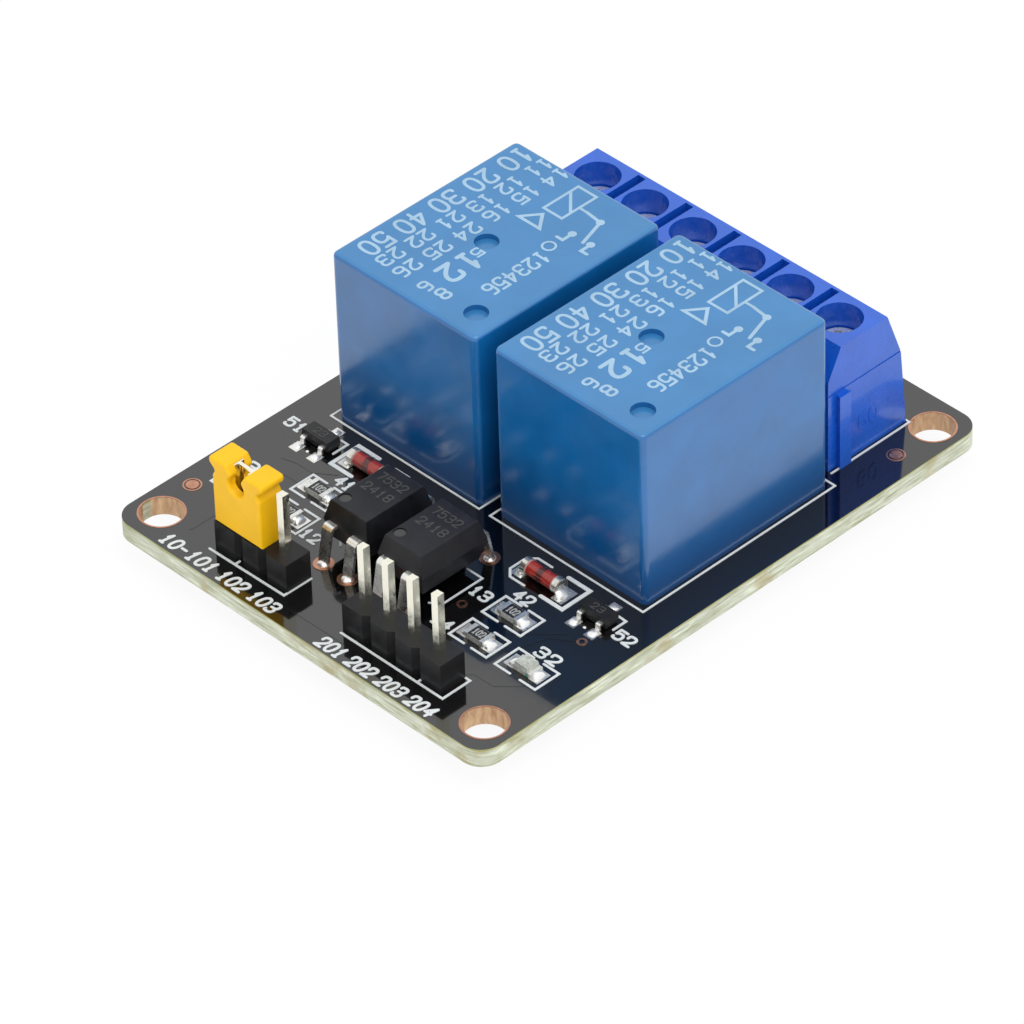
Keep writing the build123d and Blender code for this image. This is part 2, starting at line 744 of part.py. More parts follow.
# Jumper clip: an arch over each pin, joined by a narrow strip
with BuildPart() as clip:
    with BuildSketch(Plane((header_x, jumper_y, jumper_z), x_dir=(1, 0, 0), z_dir=(0, -1, 0))):
        with BuildLine():
            Polyline(
                (-clip_reach, clip_lift),
                (-clip_gap, clip_lift),
                (-clip_gap, clip_top_z),
                (clip_gap, clip_top_z),
                (clip_gap, clip_lift),
                (clip_reach, clip_lift),
                (clip_reach, clip_top_z + clip_thickness),
                (-clip_reach, clip_top_z + clip_thickness),
                close=True,
            )
        make_face()
    extrude(amount=(header_pitch + clip_arm_width) / 2, both=True)
    with BuildSketch(jumper_seat.offset(clip_lift)):
        Rectangle(2 * clip_reach, header_pitch - clip_arm_width)
        Rectangle(clip_strip_width, header_pitch - clip_arm_width, mode=Mode.SUBTRACT)
    extrude(amount=jumper_height, mode=Mode.SUBTRACT)
    with BuildSketch(jumper_seat.offset(clip_lift)):
        Rectangle(clip_strip_width, header_pitch - clip_arm_width)
    extrude(amount=clip_top_z - clip_lift, mode=Mode.SUBTRACT)
clip.part.label = "jumper_clip"
export_step(clip.part, "parts/jumper_clip.step")


def optocoupler(number, centre_y):
    """One four-pin optocoupler: a moulded body parted at mid height, and its bent leads."""
    places = coupler_places(centre_y)
    seat = Plane((coupler_x, centre_y, board_top))
    half_height = coupler_body_height / 2
    with BuildPart() as body:
        for way_up in (1, -1):
            with BuildSketch(seat.offset(coupler_mould_z)):
                Rectangle(coupler_length, coupler_width)
            extrude(amount=way_up * half_height, taper=coupler_draft)
        fillet(body.faces().sort_by(Axis.Z)[-1].edges(), coupler_edge_radius)
        with BuildSketch(seat.offset(coupler_top_height)):
            with Locations(coupler_dimple_place):
                Circle(coupler_dimple_diameter / 2)
        extrude(amount=-coupler_dimple_depth, mode=Mode.SUBTRACT)
        with BuildSketch(seat.offset(coupler_mould_z - coupler_lead_thickness / 2)):
            lead_rows = [centre - centre_y for _, centre, side in places if side > 0]
            with Locations(*[(end * coupler_length / 2, row) for end in (-1, 1) for row in lead_rows]):
                Rectangle(2 * coupler_lead_entry, coupler_lead_width)
        extrude(amount=coupler_lead_thickness, mode=Mode.SUBTRACT)
    body.part.label = f"optocoupler_{number}_body"
    export_step(body.part, f"parts/optocoupler_{number}_body.step")

    with BuildPart() as lead_set:
        for _, lead_y, side in places:
            with BuildSketch(Plane((coupler_x, lead_y, board_top), x_dir=(1, 0, 0), z_dir=(0, -1, 0))):
                with BuildLine():
                    FilletPolyline(
                        (side * (coupler_length / 2 - coupler_lead_entry), coupler_mould_z),
                        (side * (coupler_length / 2 + coupler_shoulder_reach), coupler_mould_z),
                        (side * coupler_foot_x, 0),
                        (side * coupler_foot_x, -board_thickness - lead_drop),
                        radius=coupler_lead_bend,
                    )
                trace(line_width=coupler_lead_thickness)
            extrude(amount=coupler_lead_width / 2, both=True)
        tail_foot = Plane.XY.offset(-lead_drop)
        shoulder_side = (coupler_lead_width - coupler_tail_width) / 2
        shoulder_y = (coupler_lead_width + coupler_tail_width) / 4
        with BuildSketch(tail_foot):
            with Locations(*[(x, y + end * shoulder_y) for x, y, _ in places for end in (-1, 1)]):
                Rectangle(2 * coupler_shoulder_reach, shoulder_side)
        extrude(amount=lead_drop + board_top + coupler_tail_top, mode=Mode.SUBTRACT)
    lead_set.part.label = f"optocoupler_{number}_leads"
    export_step(lead_set.part, f"parts/optocoupler_{number}_leads.step")


optocoupler(1, coupler_1_y)
optocoupler(2, coupler_2_y)

# Chip resistors, with their long sides along Y
for number, place in enumerate(resistor_places, start=1):
    seat = Plane((*place, board_top))
    with BuildPart() as resistor:
        with BuildSketch(seat):
            Rectangle(chip_width - 2 * chip_cap_step, chip_length - 2 * chip_cap_length)
        extrude(amount=chip_height - chip_cap_step)
        with BuildSketch(seat):
            with Locations((0, chip_cap_y), (0, -chip_cap_y)):
                Rectangle(chip_width, chip_cap_length)
        extrude(amount=chip_height)
    resistor.part.label = f"resistor_{number}"
    export_step(resistor.part, f"parts/resistor_{number}.step")

# Indicator lamps: a flat base and a clear lens
for number, place in enumerate(led_places, start=1):
    seat = Plane((*place, board_top))
    with BuildPart() as lamp:
        with BuildSketch(seat):
            Rectangle(chip_width, chip_length)
        extrude(amount=led_base_height)
        with BuildSketch(seat.offset(led_base_height)):
            Rectangle(chip_width, led_lens_length)
        extrude(amount=led_lens_height - led_base_height, taper=led_lens_draft)
    lamp.part.label = f"indicator_lamp_{number}"
    export_step(lamp.part, f"parts/indicator_lamp_{number}.step")

# Glass diodes: a turned form lying along Y, with its end caps on the board
for number, (x, y) in enumerate(diode_places, start=1):
    with BuildPart() as diode:
        with BuildSketch(Plane((x, y, board_top + diode_cap_diameter / 2), x_dir=(0, 1, 0), z_dir=(1, 0, 0))):
            with BuildLine():
                Polyline(
                    (-diode_length / 2, 0),
                    (diode_length / 2, 0),
                    (diode_length / 2, diode_cap_diameter / 2),
                    (diode_length / 2 - diode_cap_length, diode_cap_diameter / 2),
                    (diode_length / 2 - diode_cap_length, diode_glass_diameter / 2),
                    (-diode_length / 2 + diode_cap_length, diode_glass_diameter / 2),
                    (-diode_length / 2 + diode_cap_length, diode_cap_diameter / 2),
                    (-diode_length / 2, diode_cap_diameter / 2),
                    close=True,
                )
            make_face()
        revolve(axis=Axis((x, y, board_top + diode_cap_diameter / 2), (0, 1, 0)))
    diode.part.label = f"diode_{number}"
    export_step(diode.part, f"parts/diode_{number}.step")

# Transistors: a small moulded body and its three bent leads, two on the -X side
lead_rows = ((-1, transistor_lead_pitch / 2), (-1, -transistor_lead_pitch / 2), (1, 0))
for number, (x, y) in enumerate(transistor_places, start=1):
    seat = Plane((x, y, board_top))
    mould_z = transistor_lift + transistor_height / 2
    with BuildPart() as package:
        for way_up in (1, -1):
            with BuildSketch(seat.offset(mould_z)):
                Rectangle(transistor_width, transistor_length)
            extrude(amount=way_up * transistor_height / 2, taper=transistor_draft)
        with BuildSketch(seat.offset(mould_z - transistor_lead_thickness / 2)):
            with Locations(*[(end * transistor_width / 2, row) for end, row in lead_rows]):
                Rectangle(2 * transistor_lead_entry, transistor_lead_width)
        extrude(amount=transistor_lead_thickness, mode=Mode.SUBTRACT)
    package.part.label = f"transistor_{number}"
    export_step(package.part, f"parts/transistor_{number}.step")

with BuildPart() as transistor_leads:
    for x, y in transistor_places:
        mould_z = transistor_lift + transistor_height / 2
        knee = transistor_width / 2 + transistor_lead_knee
        toe = transistor_width / 2 + transistor_lead_reach
        sole = transistor_lead_thickness / 2
        for end, row in lead_rows:
            with BuildSketch(Plane((x, y + row, board_top), x_dir=(1, 0, 0), z_dir=(0, -1, 0))):
                with BuildLine():
                    FilletPolyline(
                        (end * (transistor_width / 2 - transistor_lead_entry), mould_z),
                        (end * knee, mould_z),
                        (end * knee, sole),
                        (end * toe, sole),
                        radius=transistor_lead_bend,
                    )
                trace(line_width=transistor_lead_thickness)
            extrude(amount=transistor_lead_width / 2, both=True)
transistor_leads.part.label = "transistor_leads"
export_step(transistor_leads.part, "parts/transistor_leads.step")
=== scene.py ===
"""Looks of the relay module board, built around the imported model.

Everything is in the row frame: +Z up, +X from the pin headers to the terminal block. Sizes in
this file are in millimetres, and become metres when a mesh is made.
"""
import itertools
import math

import bpy
import bmesh
from mathutils import Matrix, Vector


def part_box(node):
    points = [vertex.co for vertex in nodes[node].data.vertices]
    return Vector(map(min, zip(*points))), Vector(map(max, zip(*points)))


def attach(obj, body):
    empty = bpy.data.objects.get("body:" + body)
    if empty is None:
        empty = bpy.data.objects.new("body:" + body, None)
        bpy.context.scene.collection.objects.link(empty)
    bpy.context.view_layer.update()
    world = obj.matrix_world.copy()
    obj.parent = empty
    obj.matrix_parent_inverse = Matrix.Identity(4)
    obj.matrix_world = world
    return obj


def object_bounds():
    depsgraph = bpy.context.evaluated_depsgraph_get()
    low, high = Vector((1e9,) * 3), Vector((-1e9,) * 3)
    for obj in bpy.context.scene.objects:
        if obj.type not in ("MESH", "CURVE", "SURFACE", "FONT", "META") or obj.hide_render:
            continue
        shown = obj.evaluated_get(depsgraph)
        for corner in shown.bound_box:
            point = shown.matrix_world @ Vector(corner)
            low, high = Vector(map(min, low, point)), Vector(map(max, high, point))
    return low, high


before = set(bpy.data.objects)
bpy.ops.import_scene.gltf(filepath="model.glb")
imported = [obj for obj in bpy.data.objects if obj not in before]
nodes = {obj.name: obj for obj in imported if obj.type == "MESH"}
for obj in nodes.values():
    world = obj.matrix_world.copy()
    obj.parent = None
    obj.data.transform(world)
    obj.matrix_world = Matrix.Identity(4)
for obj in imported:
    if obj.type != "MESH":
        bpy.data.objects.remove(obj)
cad_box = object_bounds()
MM = 0.001

bpy.context.scene.view_settings.view_transform = "Standard"


# Places and heights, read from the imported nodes
def centre_of(node):
    """X and Y of the middle of a node."""
    low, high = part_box(node)
    return tuple(round((low[axis] + high[axis]) / 2 / MM, 3) for axis in (0, 1))


def top_of(node):
    return round(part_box(node)[1][2] / MM, 3)


BOARD_TOP = top_of("circuit_board")
RELAY_TOP = top_of("relay_1_case")
COUPLER_TOP = top_of("optocoupler_1_body")
TRANSISTOR_TOP = top_of("transistor_1")
CHIP_TOP = top_of("resistor_1")
SCREW_TOP = top_of("clamp_screw_1")
COUPLERS = [centre_of(f"optocoupler_{k}_body") for k in (1, 2)]
RESISTORS = [centre_of(f"resistor_{k}") for k in (1, 2, 3, 4)]
LAMPS = [centre_of(f"indicator_lamp_{k}") for k in (1, 2)]
DIODES = [centre_of(f"diode_{k}") for k in (1, 2)]
TRANSISTORS = [centre_of(f"transistor_{k}") for k in (1, 2)]

# Mounting holes, and the optocouplers' leads at their reach and row from each body's middle
HOLE_PLACES = list(itertools.product((-23.15, 23.15), (-16.95, 16.95)))
HOLE_RADIUS = 1.7
LEAD_REACH, LEAD_ROW = 4.4, 1.27
COUPLER_LEADS = [
    (x + side, y + row)
    for x, y in COUPLERS
    for side, row in itertools.product((-LEAD_REACH, LEAD_REACH), (-LEAD_ROW, LEAD_ROW))
]

# Camera fitted to the photograph: focal length and optical centre in its pixels, angles in degrees
PHOTO_SIZE = 1024
FOCAL_LENGTH = 7402.734
OPTICAL_CENTRE = (519.126, 508.329)
SENSOR_WIDTH = 36
AZIMUTH, ELEVATION, ROLL = -43.284, 39.243, -1.815
AIM = (-7.653, -4.754, 5.105)
DISTANCE = 535.819


def make_camera():
    azimuth, elevation, roll = (math.radians(angle) for angle in (AZIMUTH, ELEVATION, ROLL))
    back = Vector((
        math.sin(azimuth) * math.cos(elevation),
        -math.cos(azimuth) * math.cos(elevation),
        math.sin(elevation),
    ))
    side = (-back).cross(Vector((0, 0, 1))).normalized()
    above = side.cross(-back)
    right = math.cos(roll) * side + math.sin(roll) * above
    up = -math.sin(roll) * side + math.cos(roll) * above
    data = bpy.data.cameras.new("camera")
    data.sensor_width = SENSOR_WIDTH
    data.lens = SENSOR_WIDTH * FOCAL_LENGTH / PHOTO_SIZE
    data.shift_x = (PHOTO_SIZE / 2 - OPTICAL_CENTRE[0]) / PHOTO_SIZE
    data.shift_y = (OPTICAL_CENTRE[1] - PHOTO_SIZE / 2) / PHOTO_SIZE
    data.clip_end = 10
    camera = bpy.data.objects.new("camera", data)
    bpy.context.scene.collection.objects.link(camera)
    place = Vector(AIM) * MM + back * DISTANCE * MM
    turn = Matrix((right, up, back)).transposed().to_4x4()
    camera.matrix_world = Matrix.Translation(place) @ turn
    bpy.context.scene.camera = camera


make_camera()


# Helpers for materials
class Look:
    """A Principled material with helper nodes for varied colour, roughness and bump."""

    def __init__(self, name, colour, roughness=0.4, metallic=0.0, coat=0.0, coat_roughness=0.05, ior=1.5):
        self.material = bpy.data.materials.new(name)
        self.material.use_nodes = True
        self.tree = self.material.node_tree
        self.tree.nodes.clear()
        self.out = self.new("ShaderNodeOutputMaterial")
        self.shader = self.new("ShaderNodeBsdfPrincipled")
        self.link(self.shader.outputs[0], self.out.inputs["Surface"])
        self.shader.inputs["Base Color"].default_value = (*colour, 1)
        self.shader.inputs["Roughness"].default_value = roughness
        self.shader.inputs["Metallic"].default_value = metallic
        self.shader.inputs["Coat Weight"].default_value = coat
        self.shader.inputs["Coat Roughness"].default_value = coat_roughness
        self.shader.inputs["IOR"].default_value = ior
        self.coords = self.new("ShaderNodeTexCoord")
        self.place = self.coords.outputs["Object"]

    def new(self, kind):
        return self.tree.nodes.new(kind)

    def link(self, source, target):
        self.tree.links.new(source, target)

    def axes(self):
        """X, Y and Z of the surface point, in metres."""
        node = self.new("ShaderNodeSeparateXYZ")
        self.link(self.place, node.inputs[0])
        return node.outputs

    def shares(self):
        """X, Y and Z of the surface point in the part's own box, from 0 to 1."""
        node = self.new("ShaderNodeSeparateXYZ")
        self.link(self.coords.outputs["Generated"], node.inputs[0])
        return node.outputs

    def upward(self):
        """How far the surface faces up, from -1 for down to 1."""
        node = self.new("ShaderNodeSeparateXYZ")
        self.link(self.coords.outputs["Normal"], node.inputs[0])
        return node.outputs[2]

    def rim(self):
        """Grows towards the outline of a rounded form, as the wall of clear glass does."""
        node = self.new("ShaderNodeLayerWeight")
        node.inputs["Blend"].default_value = 0.5
        return node.outputs["Facing"]

    def math(self, kind, first, second=0.0):
        node = self.new("ShaderNodeMath")
        node.operation = kind
        for slot, value in enumerate((first, second)):
            if isinstance(value, (int, float)):
                node.inputs[slot].default_value = value
            else:
                self.link(value, node.inputs[slot])
        return node.outputs[0]

    def above(self, value, limit):
        return self.math("GREATER_THAN", value, limit)

    def below(self, value, limit):
        return self.math("LESS_THAN", value, limit)

    def times(self, value, factor):
        return self.math("MULTIPLY", value, factor)

    def size_of(self, value):
        """The value without its sign."""
        return self.math("ABSOLUTE", value)

    def remap(self, value, low, high, start=0.3, end=0.7):
        node = self.new("ShaderNodeMapRange")
        self.link(value, node.inputs["Value"])
        node.inputs["From Min"].default_value = start
        node.inputs["From Max"].default_value = end
        node.inputs["To Min"].default_value = low
        node.inputs["To Max"].default_value = high
        return node.outputs["Result"]

    def mix(self, factor, first, second):
        """Goes from the first colour to the second as the factor goes from 0 to 1."""
        node = self.new("ShaderNodeMix")
        node.data_type = "RGBA"
        self.link(factor, node.inputs[0])
        for slot, value in ((6, first), (7, second)):
            if isinstance(value, tuple):
                node.inputs[slot].default_value = (*value, 1)
            else:
                self.link(value, node.inputs[slot])
        return node.outputs[2]

    def noise(self, size, detail=3.0, stretch=(1, 1, 1)):
        """Noise whose features are about size millimetres wide."""
        spread = self.new("ShaderNodeMapping")
        self.link(self.place, spread.inputs["Vector"])
        spread.inputs["Scale"].default_value = stretch
        node = self.new("ShaderNodeTexNoise")
        self.link(spread.outputs["Vector"], node.inputs["Vector"])
        node.inputs["Scale"].default_value = 1 / (size * MM)
        node.inputs["Detail"].default_value = detail
        node.inputs["Roughness"].default_value = 0.55
        return node.outputs["Fac"]

    def patches(self, size, detail=3.0, stretch=(1, 1, 1)):
        """Soft patches of 0 and 1, about size millimetres wide."""
        return self.remap(self.noise(size, detail, stretch), 0.0, 1.0)

    def patchy(self, dark, light, size, detail=3.0):
        return self.mix(self.patches(size, detail), dark, light)

    def colour(self, value):
        self.link(value, self.shader.inputs["Base Color"])

    def roughness(self, low, high, size=0.8):
        self.link(self.remap(self.noise(size, 4), low, high), self.shader.inputs["Roughness"])

    def bump(self, depth, size, strength, detail=3.0, stretch=(1, 1, 1), height=None, before=None):
        """Relief from noise, or from the given height, over the relief that comes before."""
        node = self.new("ShaderNodeBump")
        node.inputs["Distance"].default_value = depth * MM
        node.inputs["Strength"].default_value = strength
        if height is None:
            height = self.noise(size, detail, stretch)
        self.link(height, node.inputs["Height"])
        if before is not None:
            self.link(before, node.inputs["Normal"])
        self.link(node.outputs[0], self.shader.inputs["Normal"])
        return node.outputs[0]


def grade(colour, factor):
    """A darker or lighter colour."""
    return tuple(min(1.0, channel * factor) for channel in colour)


def moulded(name, colour, roughness=0.35, grain=0.01, coat=0.0, spread=0.12, ior=1.5):
    """Moulded plastic: slightly uneven colour and gloss, with a fine grain."""
    look = Look(name, colour, roughness, coat=coat, ior=ior)
    look.colour(look.patchy(grade(colour, 1 - spread), grade(colour, 1 + spread), 2.5))
    look.roughness(roughness - 0.06, roughness + 0.08)
    look.bump(grain, 0.25, 0.6)
    return look


def metal(name, colour, roughness=0.25, spread=0.12, grain=0.003, size=0.5, stretch=(1, 1, 1), metallic=1.0):
    """Metal: slightly uneven colour and gloss, with a shallow relief."""
    look = Look(name, colour, roughness, metallic=metallic)
    look.colour(look.patchy(grade(colour, 1 - spread), grade(colour, 1 + spread * 0.5), size))
    look.roughness(roughness - 0.06, roughness + 0.1, size)
    look.bump(grain, size, 0.5, detail=1, stretch=stretch)
    return look


def dress(node, look):
    """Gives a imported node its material."""
    for slot in nodes[node].material_slots:
        slot.material = look.material


# Helpers for geometry
SHARPEST_MITRE = 0.45

# How far a thin layer, or a solder mound, reaches into what carries it
SINK, MOUND_SINK = 0.01, 0.02

# Levels of printed lines that cross
LEVELS, LEVEL_STEP = 16, 0.0012
level = itertools.cycle(range(LEVELS))


def stagger(height):
    """Heights that differ by a hair, so that printed lines may cross without lying in one plane."""
    return height + LEVEL_STEP * next(level)


def layer(top, thickness):
    """Lowest and highest level of a thin layer, which reaches a little into what carries it."""
    return top - SINK, top + thickness


def finish_mesh(name, bm, look, body="board", smooth=False):
    """Makes an object of a mesh in millimetres, which rides on a body."""
    mesh = bpy.data.meshes.new(name)
    bmesh.ops.scale(bm, vec=(MM, MM, MM), verts=bm.verts)
    bm.normal_update()
    bm.to_mesh(mesh)
    bm.free()
    for face in mesh.polygons:
        face.use_smooth = smooth
    mesh.materials.append(look.material)
    piece = bpy.data.objects.new(name, mesh)
    bpy.context.scene.collection.objects.link(piece)
    if body:
        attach(piece, body)
    return piece


def loop_of(bm, points, z):
    return [bm.verts.new((x, y, z)) for x, y in points]


def wall(bm, upper, lower):
    """Joins two loops of as many points with a strip of faces."""
    for k in range(len(upper)):
        n = (k + 1) % len(upper)
        bm.faces.new((lower[k], lower[n], upper[n], upper[k]))


def rectangle(first, last):
    """The four corners of a box, from one corner and the opposite one."""
    (x0, y0), (x1, y1) = first, last
    return [(x0, y0), (x0, y1), (x1, y1), (x1, y0)]


def pad(bm, centre, half, low, high):
    """A flat oblong patch."""
    x, y = centre
    outline = [(x + half[0] * a, y + half[1] * b) for a, b in ((-1, -1), (1, -1), (1, 1), (-1, 1))]
    top = loop_of(bm, outline, stagger(high))
    bm.faces.new(top)
    wall(bm, top, loop_of(bm, outline, low))


def ring(bm, centre, inner, outer, low, high, steps=32):
    """A flat washer, or a disc when inner is 0."""
    x, y = centre
    high = stagger(high)
    circle = [(math.cos(2 * math.pi * k / steps), math.sin(2 * math.pi * k / steps)) for k in range(steps)]
    top = loop_of(bm, [(x + outer * c, y + outer * s) for c, s in circle], high)
    wall(bm, top, loop_of(bm, [(x + outer * c, y + outer * s) for c, s in circle], low))
    if inner:
        wall(bm, loop_of(bm, [(x + inner * c, y + inner * s) for c, s in circle], high), top)
    else:
        bm.faces.new(top)


def mound(bm, centre, half, height, lean=(0, 0), power=3, steps=24, rows=5):
    """A solder mound over a rounded oblong on the board, its peak moved sideways by lean."""
    x, y = centre
    below = None
    for row in range(rows):
        angle = math.pi / 2 * row / rows
        shrink, lift = math.cos(angle), math.sin(angle)
        points = []
        for step in range(steps):
            turn = 2 * math.pi * step / steps
            c, s = math.cos(turn), math.sin(turn)
            reach = shrink / (abs(c) ** power + abs(s) ** power) ** (1 / power)
            across, along = half[0] * reach * c + lean[0] * lift, half[1] * reach * s + lean[1] * lift
            points.append((x + across, y + along))
        above = loop_of(bm, points, BOARD_TOP - MOUND_SINK + (height + MOUND_SINK) * lift)
        if below:
            wall(bm, above, below)
        below = above
    tip = bm.verts.new((x + lean[0], y + lean[1], BOARD_TOP + height))
    for k in range(steps):
        bm.faces.new((below[k], below[(k + 1) % steps], tip))


def ribbon(bm, points, width, low, high, closed=False, steps=5):
    """A printed line: a thin mitred ribbon with round ends."""
    half = width / 2
    high = stagger(high)
    pts = [Vector(p) for p in points]
    count = len(pts)
    left, right = [], []
    for k, p in enumerate(pts):
        before = pts[k - 1] if closed or k else None
        after = pts[(k + 1) % count] if closed or k < count - 1 else None
        first = (p - before).normalized() if before is not None else (after - p).normalized()
        second = (after - p).normalized() if after is not None else first
        lean = Vector((-(first + second).y, (first + second).x)).normalized()
        reach = half / max(SHARPEST_MITRE, lean.dot(Vector((-first.y, first.x))))
        left.append(p + lean * reach)
        right.append(p - lean * reach)
    tops = list(zip(loop_of(bm, left, high), loop_of(bm, right, high)))
    feet = list(zip(loop_of(bm, left, low), loop_of(bm, right, low)))
    for k in range(count if closed else count - 1):
        n = (k + 1) % count
        bm.faces.new((tops[k][0], tops[k][1], tops[n][1], tops[n][0]))
        bm.faces.new((tops[k][0], tops[n][0], feet[n][0], feet[k][0]))
        bm.faces.new((tops[n][1], tops[k][1], feet[k][1], feet[n][1]))
    if closed:
        return
    for end, other, turn in ((0, 1, 1), (count - 1, count - 2, -1)):
        away = (pts[end] - pts[other]).normalized()
        start = math.atan2(away.y, away.x)
        arc, arc_foot = [tops[end][0]], [feet[end][0]]
        for step in range(1, steps):
            angle = start - turn * math.pi / 2 + turn * math.pi * step / steps
            spot = (pts[end].x + half * math.cos(angle), pts[end].y + half * math.sin(angle))
            arc.append(bm.verts.new((*spot, high)))
            arc_foot.append(bm.verts.new((*spot, low)))
        arc.append(tops[end][1])
        arc_foot.append(feet[end][1])
        bm.faces.new(arc if turn > 0 else arc[::-1])
        for k in range(len(arc) - 1):
            quad = (arc[k], arc_foot[k], arc_foot[k + 1], arc[k + 1])
            bm.faces.new(quad if turn > 0 else quad[::-1])


# Printed digits, drawn with strokes on a grid four wide and six high; a star closes a stroke,
# and no stroke crosses itself
GLYPHS = {
    "0": ["00 06 46 40 *"],
    "1": ["14 26", "26 20", "10 30"],
    "2": ["04 06 46 43 00", "00 40"],
    "3": ["05 06 46 43 13", "13 43 40 00 01"],
    "4": ["36 02", "02 42", "36 30"],
    "5": ["46 06", "06 03", "03 14 44 40 00 01"],
    "6": ["00 03 43 40 *", "36 06 02"],
    "7": ["06 46", "46 20"],
    "8": ["00 03 43 40 *", "03 06 46 43 *"],
    "9": ["03 06 46 43 *", "44 40 10"],
    "-": ["03 33"],
}

# A digit's cell is its width and the gap after it, in units of that grid
GLYPH_HEIGHT = 6
GLYPH_CELL = 6
GLYPH_GAP = 2
SPACE_CELL = 3


def round_off(points, closed, times=2):
    """Cuts the corners of a line, so that it looks drawn in one stroke."""
    if len(points) < 3:
        return points
    for _ in range(times):
        ends = points[1:] + points[:1] if closed else points[1:]
        cut = []
        for a, b in zip(points, ends):
            cut += [a.lerp(b, 0.25), a.lerp(b, 0.75)]
        points = cut if closed else [points[0]] + cut[1:-1] + [points[-1]]
    return points


def write(bm, text, start, length, height, line, low, high, along=(0, -1), up=(1, 0), slant=0.0):
    """Writes digits over a length, from start, the lower left corner of the first one."""
    cells = [SPACE_CELL if sign == " " else GLYPH_CELL for sign in text]
    unit, rise = length / (sum(cells) - GLYPH_GAP), height / GLYPH_HEIGHT
    along, up, origin = Vector(along), Vector(up), Vector(start)
    at = 0
    for sign, cell in zip(text, cells):
        for stroke in GLYPHS.get(sign, ()):
            closed = stroke.endswith("*")
            path = []
            for pair in stroke.strip(" *").split():
                gx, gy = int(pair[0]), int(pair[1])
                path.append(origin + along * ((at + gx) * unit + slant * gy * rise) + up * gy * rise)
            ribbon(bm, round_off(path, closed), line, low, high, closed=closed)
        at += cell


# Materials
MASK = (0.0022, 0.0022, 0.0025)

# Upright walls of the board nearer to its centre than this are those of its holes
INNER_REACH = (25.0, 18.6)

# The darker skin of the board's edge starts at this height
SKIN_FOOT = 1.45

# The screw's own bright colour reaches this far below the top of its head; lower down, the side of the head,
# its recess and the shank get painted shade.
SCREW_FACE_DEPTH = 0.3


def board_look():
    """Black mask on both faces, glass fibre on the outer edge and copper in the holes."""
    resin, fibre, weave = (0.26, 0.28, 0.12), (0.86, 0.90, 0.74), (0.58, 0.59, 0.50)
    burr, skin = (0.40, 0.31, 0.12), (0.32, 0.31, 0.05)
    look = Look("solder_mask", MASK, 0.1, coat=1.0, coat_roughness=0.03)
    x, y, z = look.axes()
    flat = look.above(look.size_of(look.upward()), 0.5)
    inner_x = look.below(look.size_of(x), INNER_REACH[0] * MM)
    inner_y = look.below(look.size_of(y), INNER_REACH[1] * MM)
    edge = look.mix(look.patches(0.45, 5, stretch=(0.22, 0.22, 2.2)), resin, fibre)
    edge = look.mix(look.remap(look.noise(1.0, 4), 0.0, 0.6), edge, weave)
    edge = look.mix(look.remap(look.noise(2.6, 4), 0.0, 0.55, 0.52, 0.66), edge, burr)
    edge = look.mix(look.times(look.above(z, SKIN_FOOT * MM), 0.7), edge, skin)
    copper = look.mix(look.patches(0.5, 4, stretch=(1, 1, 0.3)), (0.46, 0.25, 0.13), (0.86, 0.62, 0.38))
    side = look.mix(look.times(inner_x, inner_y), edge, copper)
    look.colour(look.mix(flat, side, look.patchy(grade(MASK, 0.8), grade(MASK, 1.25), 3.0)))
    gloss = look.remap(look.noise(1.0, 4), 0.07, 0.14)
    matt = look.times(look.math("SUBTRACT", 1.0, flat), 0.5)
    look.link(look.math("ADD", gloss, matt), look.shader.inputs["Roughness"])
    look.link(flat, look.shader.inputs["Coat Weight"])
    waves = look.bump(0.012, 4.0, 0.5, detail=2)
    look.bump(0.004, 0.35, 0.3, before=waves)
    return look


def trace_look():
    """The mask where it lies over copper."""
    look = Look("masked_copper", MASK, 0.1, coat=1.0, coat_roughness=0.03)
    look.colour(look.patchy(grade(MASK, 0.9), grade(MASK, 1.6), 2.0))
    look.roughness(0.08, 0.16)
    look.bump(0.004, 0.35, 0.3)
    return look


def relay_look():
    """Relay case: a softly glossy top, painted lighter than the sides as painted light from above, and glossy
    rippled sides with painted shade that darkens them towards the board.
    """
    # The first colour is the top's blue, painted lighter than the sides' as painted light; the third is
    # painted shade for the sides near the board.
    lit_satin_top, side, foot = (0.026, 0.190, 0.44), (0.006, 0.134, 0.385), (0.003, 0.062, 0.215)
    look = Look("relay_plastic", lit_satin_top, 0.2, coat=0.6, coat_roughness=0.16)
    top = look.above(look.upward(), 0.7)
    clouds = look.patches(4.0)
    # Painted light: the top gets its own lighter blue, with random clouds.
    lit_top_colour = look.mix(clouds, grade(lit_satin_top, 0.94), grade(lit_satin_top, 1.06))
    side_colour = look.mix(clouds, grade(side, 0.9), grade(side, 1.1))
    # Painted shade: the sides darken from halfway up down to the board.
    rise = look.remap(look.shares()[2], 0.0, 1.0, 0.0, 0.5)
    look.colour(look.mix(top, look.mix(rise, foot, side_colour), lit_top_colour))
    gloss = look.remap(look.noise(1.5, 5), 0.14, 0.26)
    look.link(look.math("ADD", gloss, look.times(top, 0.25)), look.shader.inputs["Roughness"])
    ripples = look.bump(0.05, 2.4, 0.8)
    look.bump(0.006, 0.15, 0.4, before=ripples)
    return look


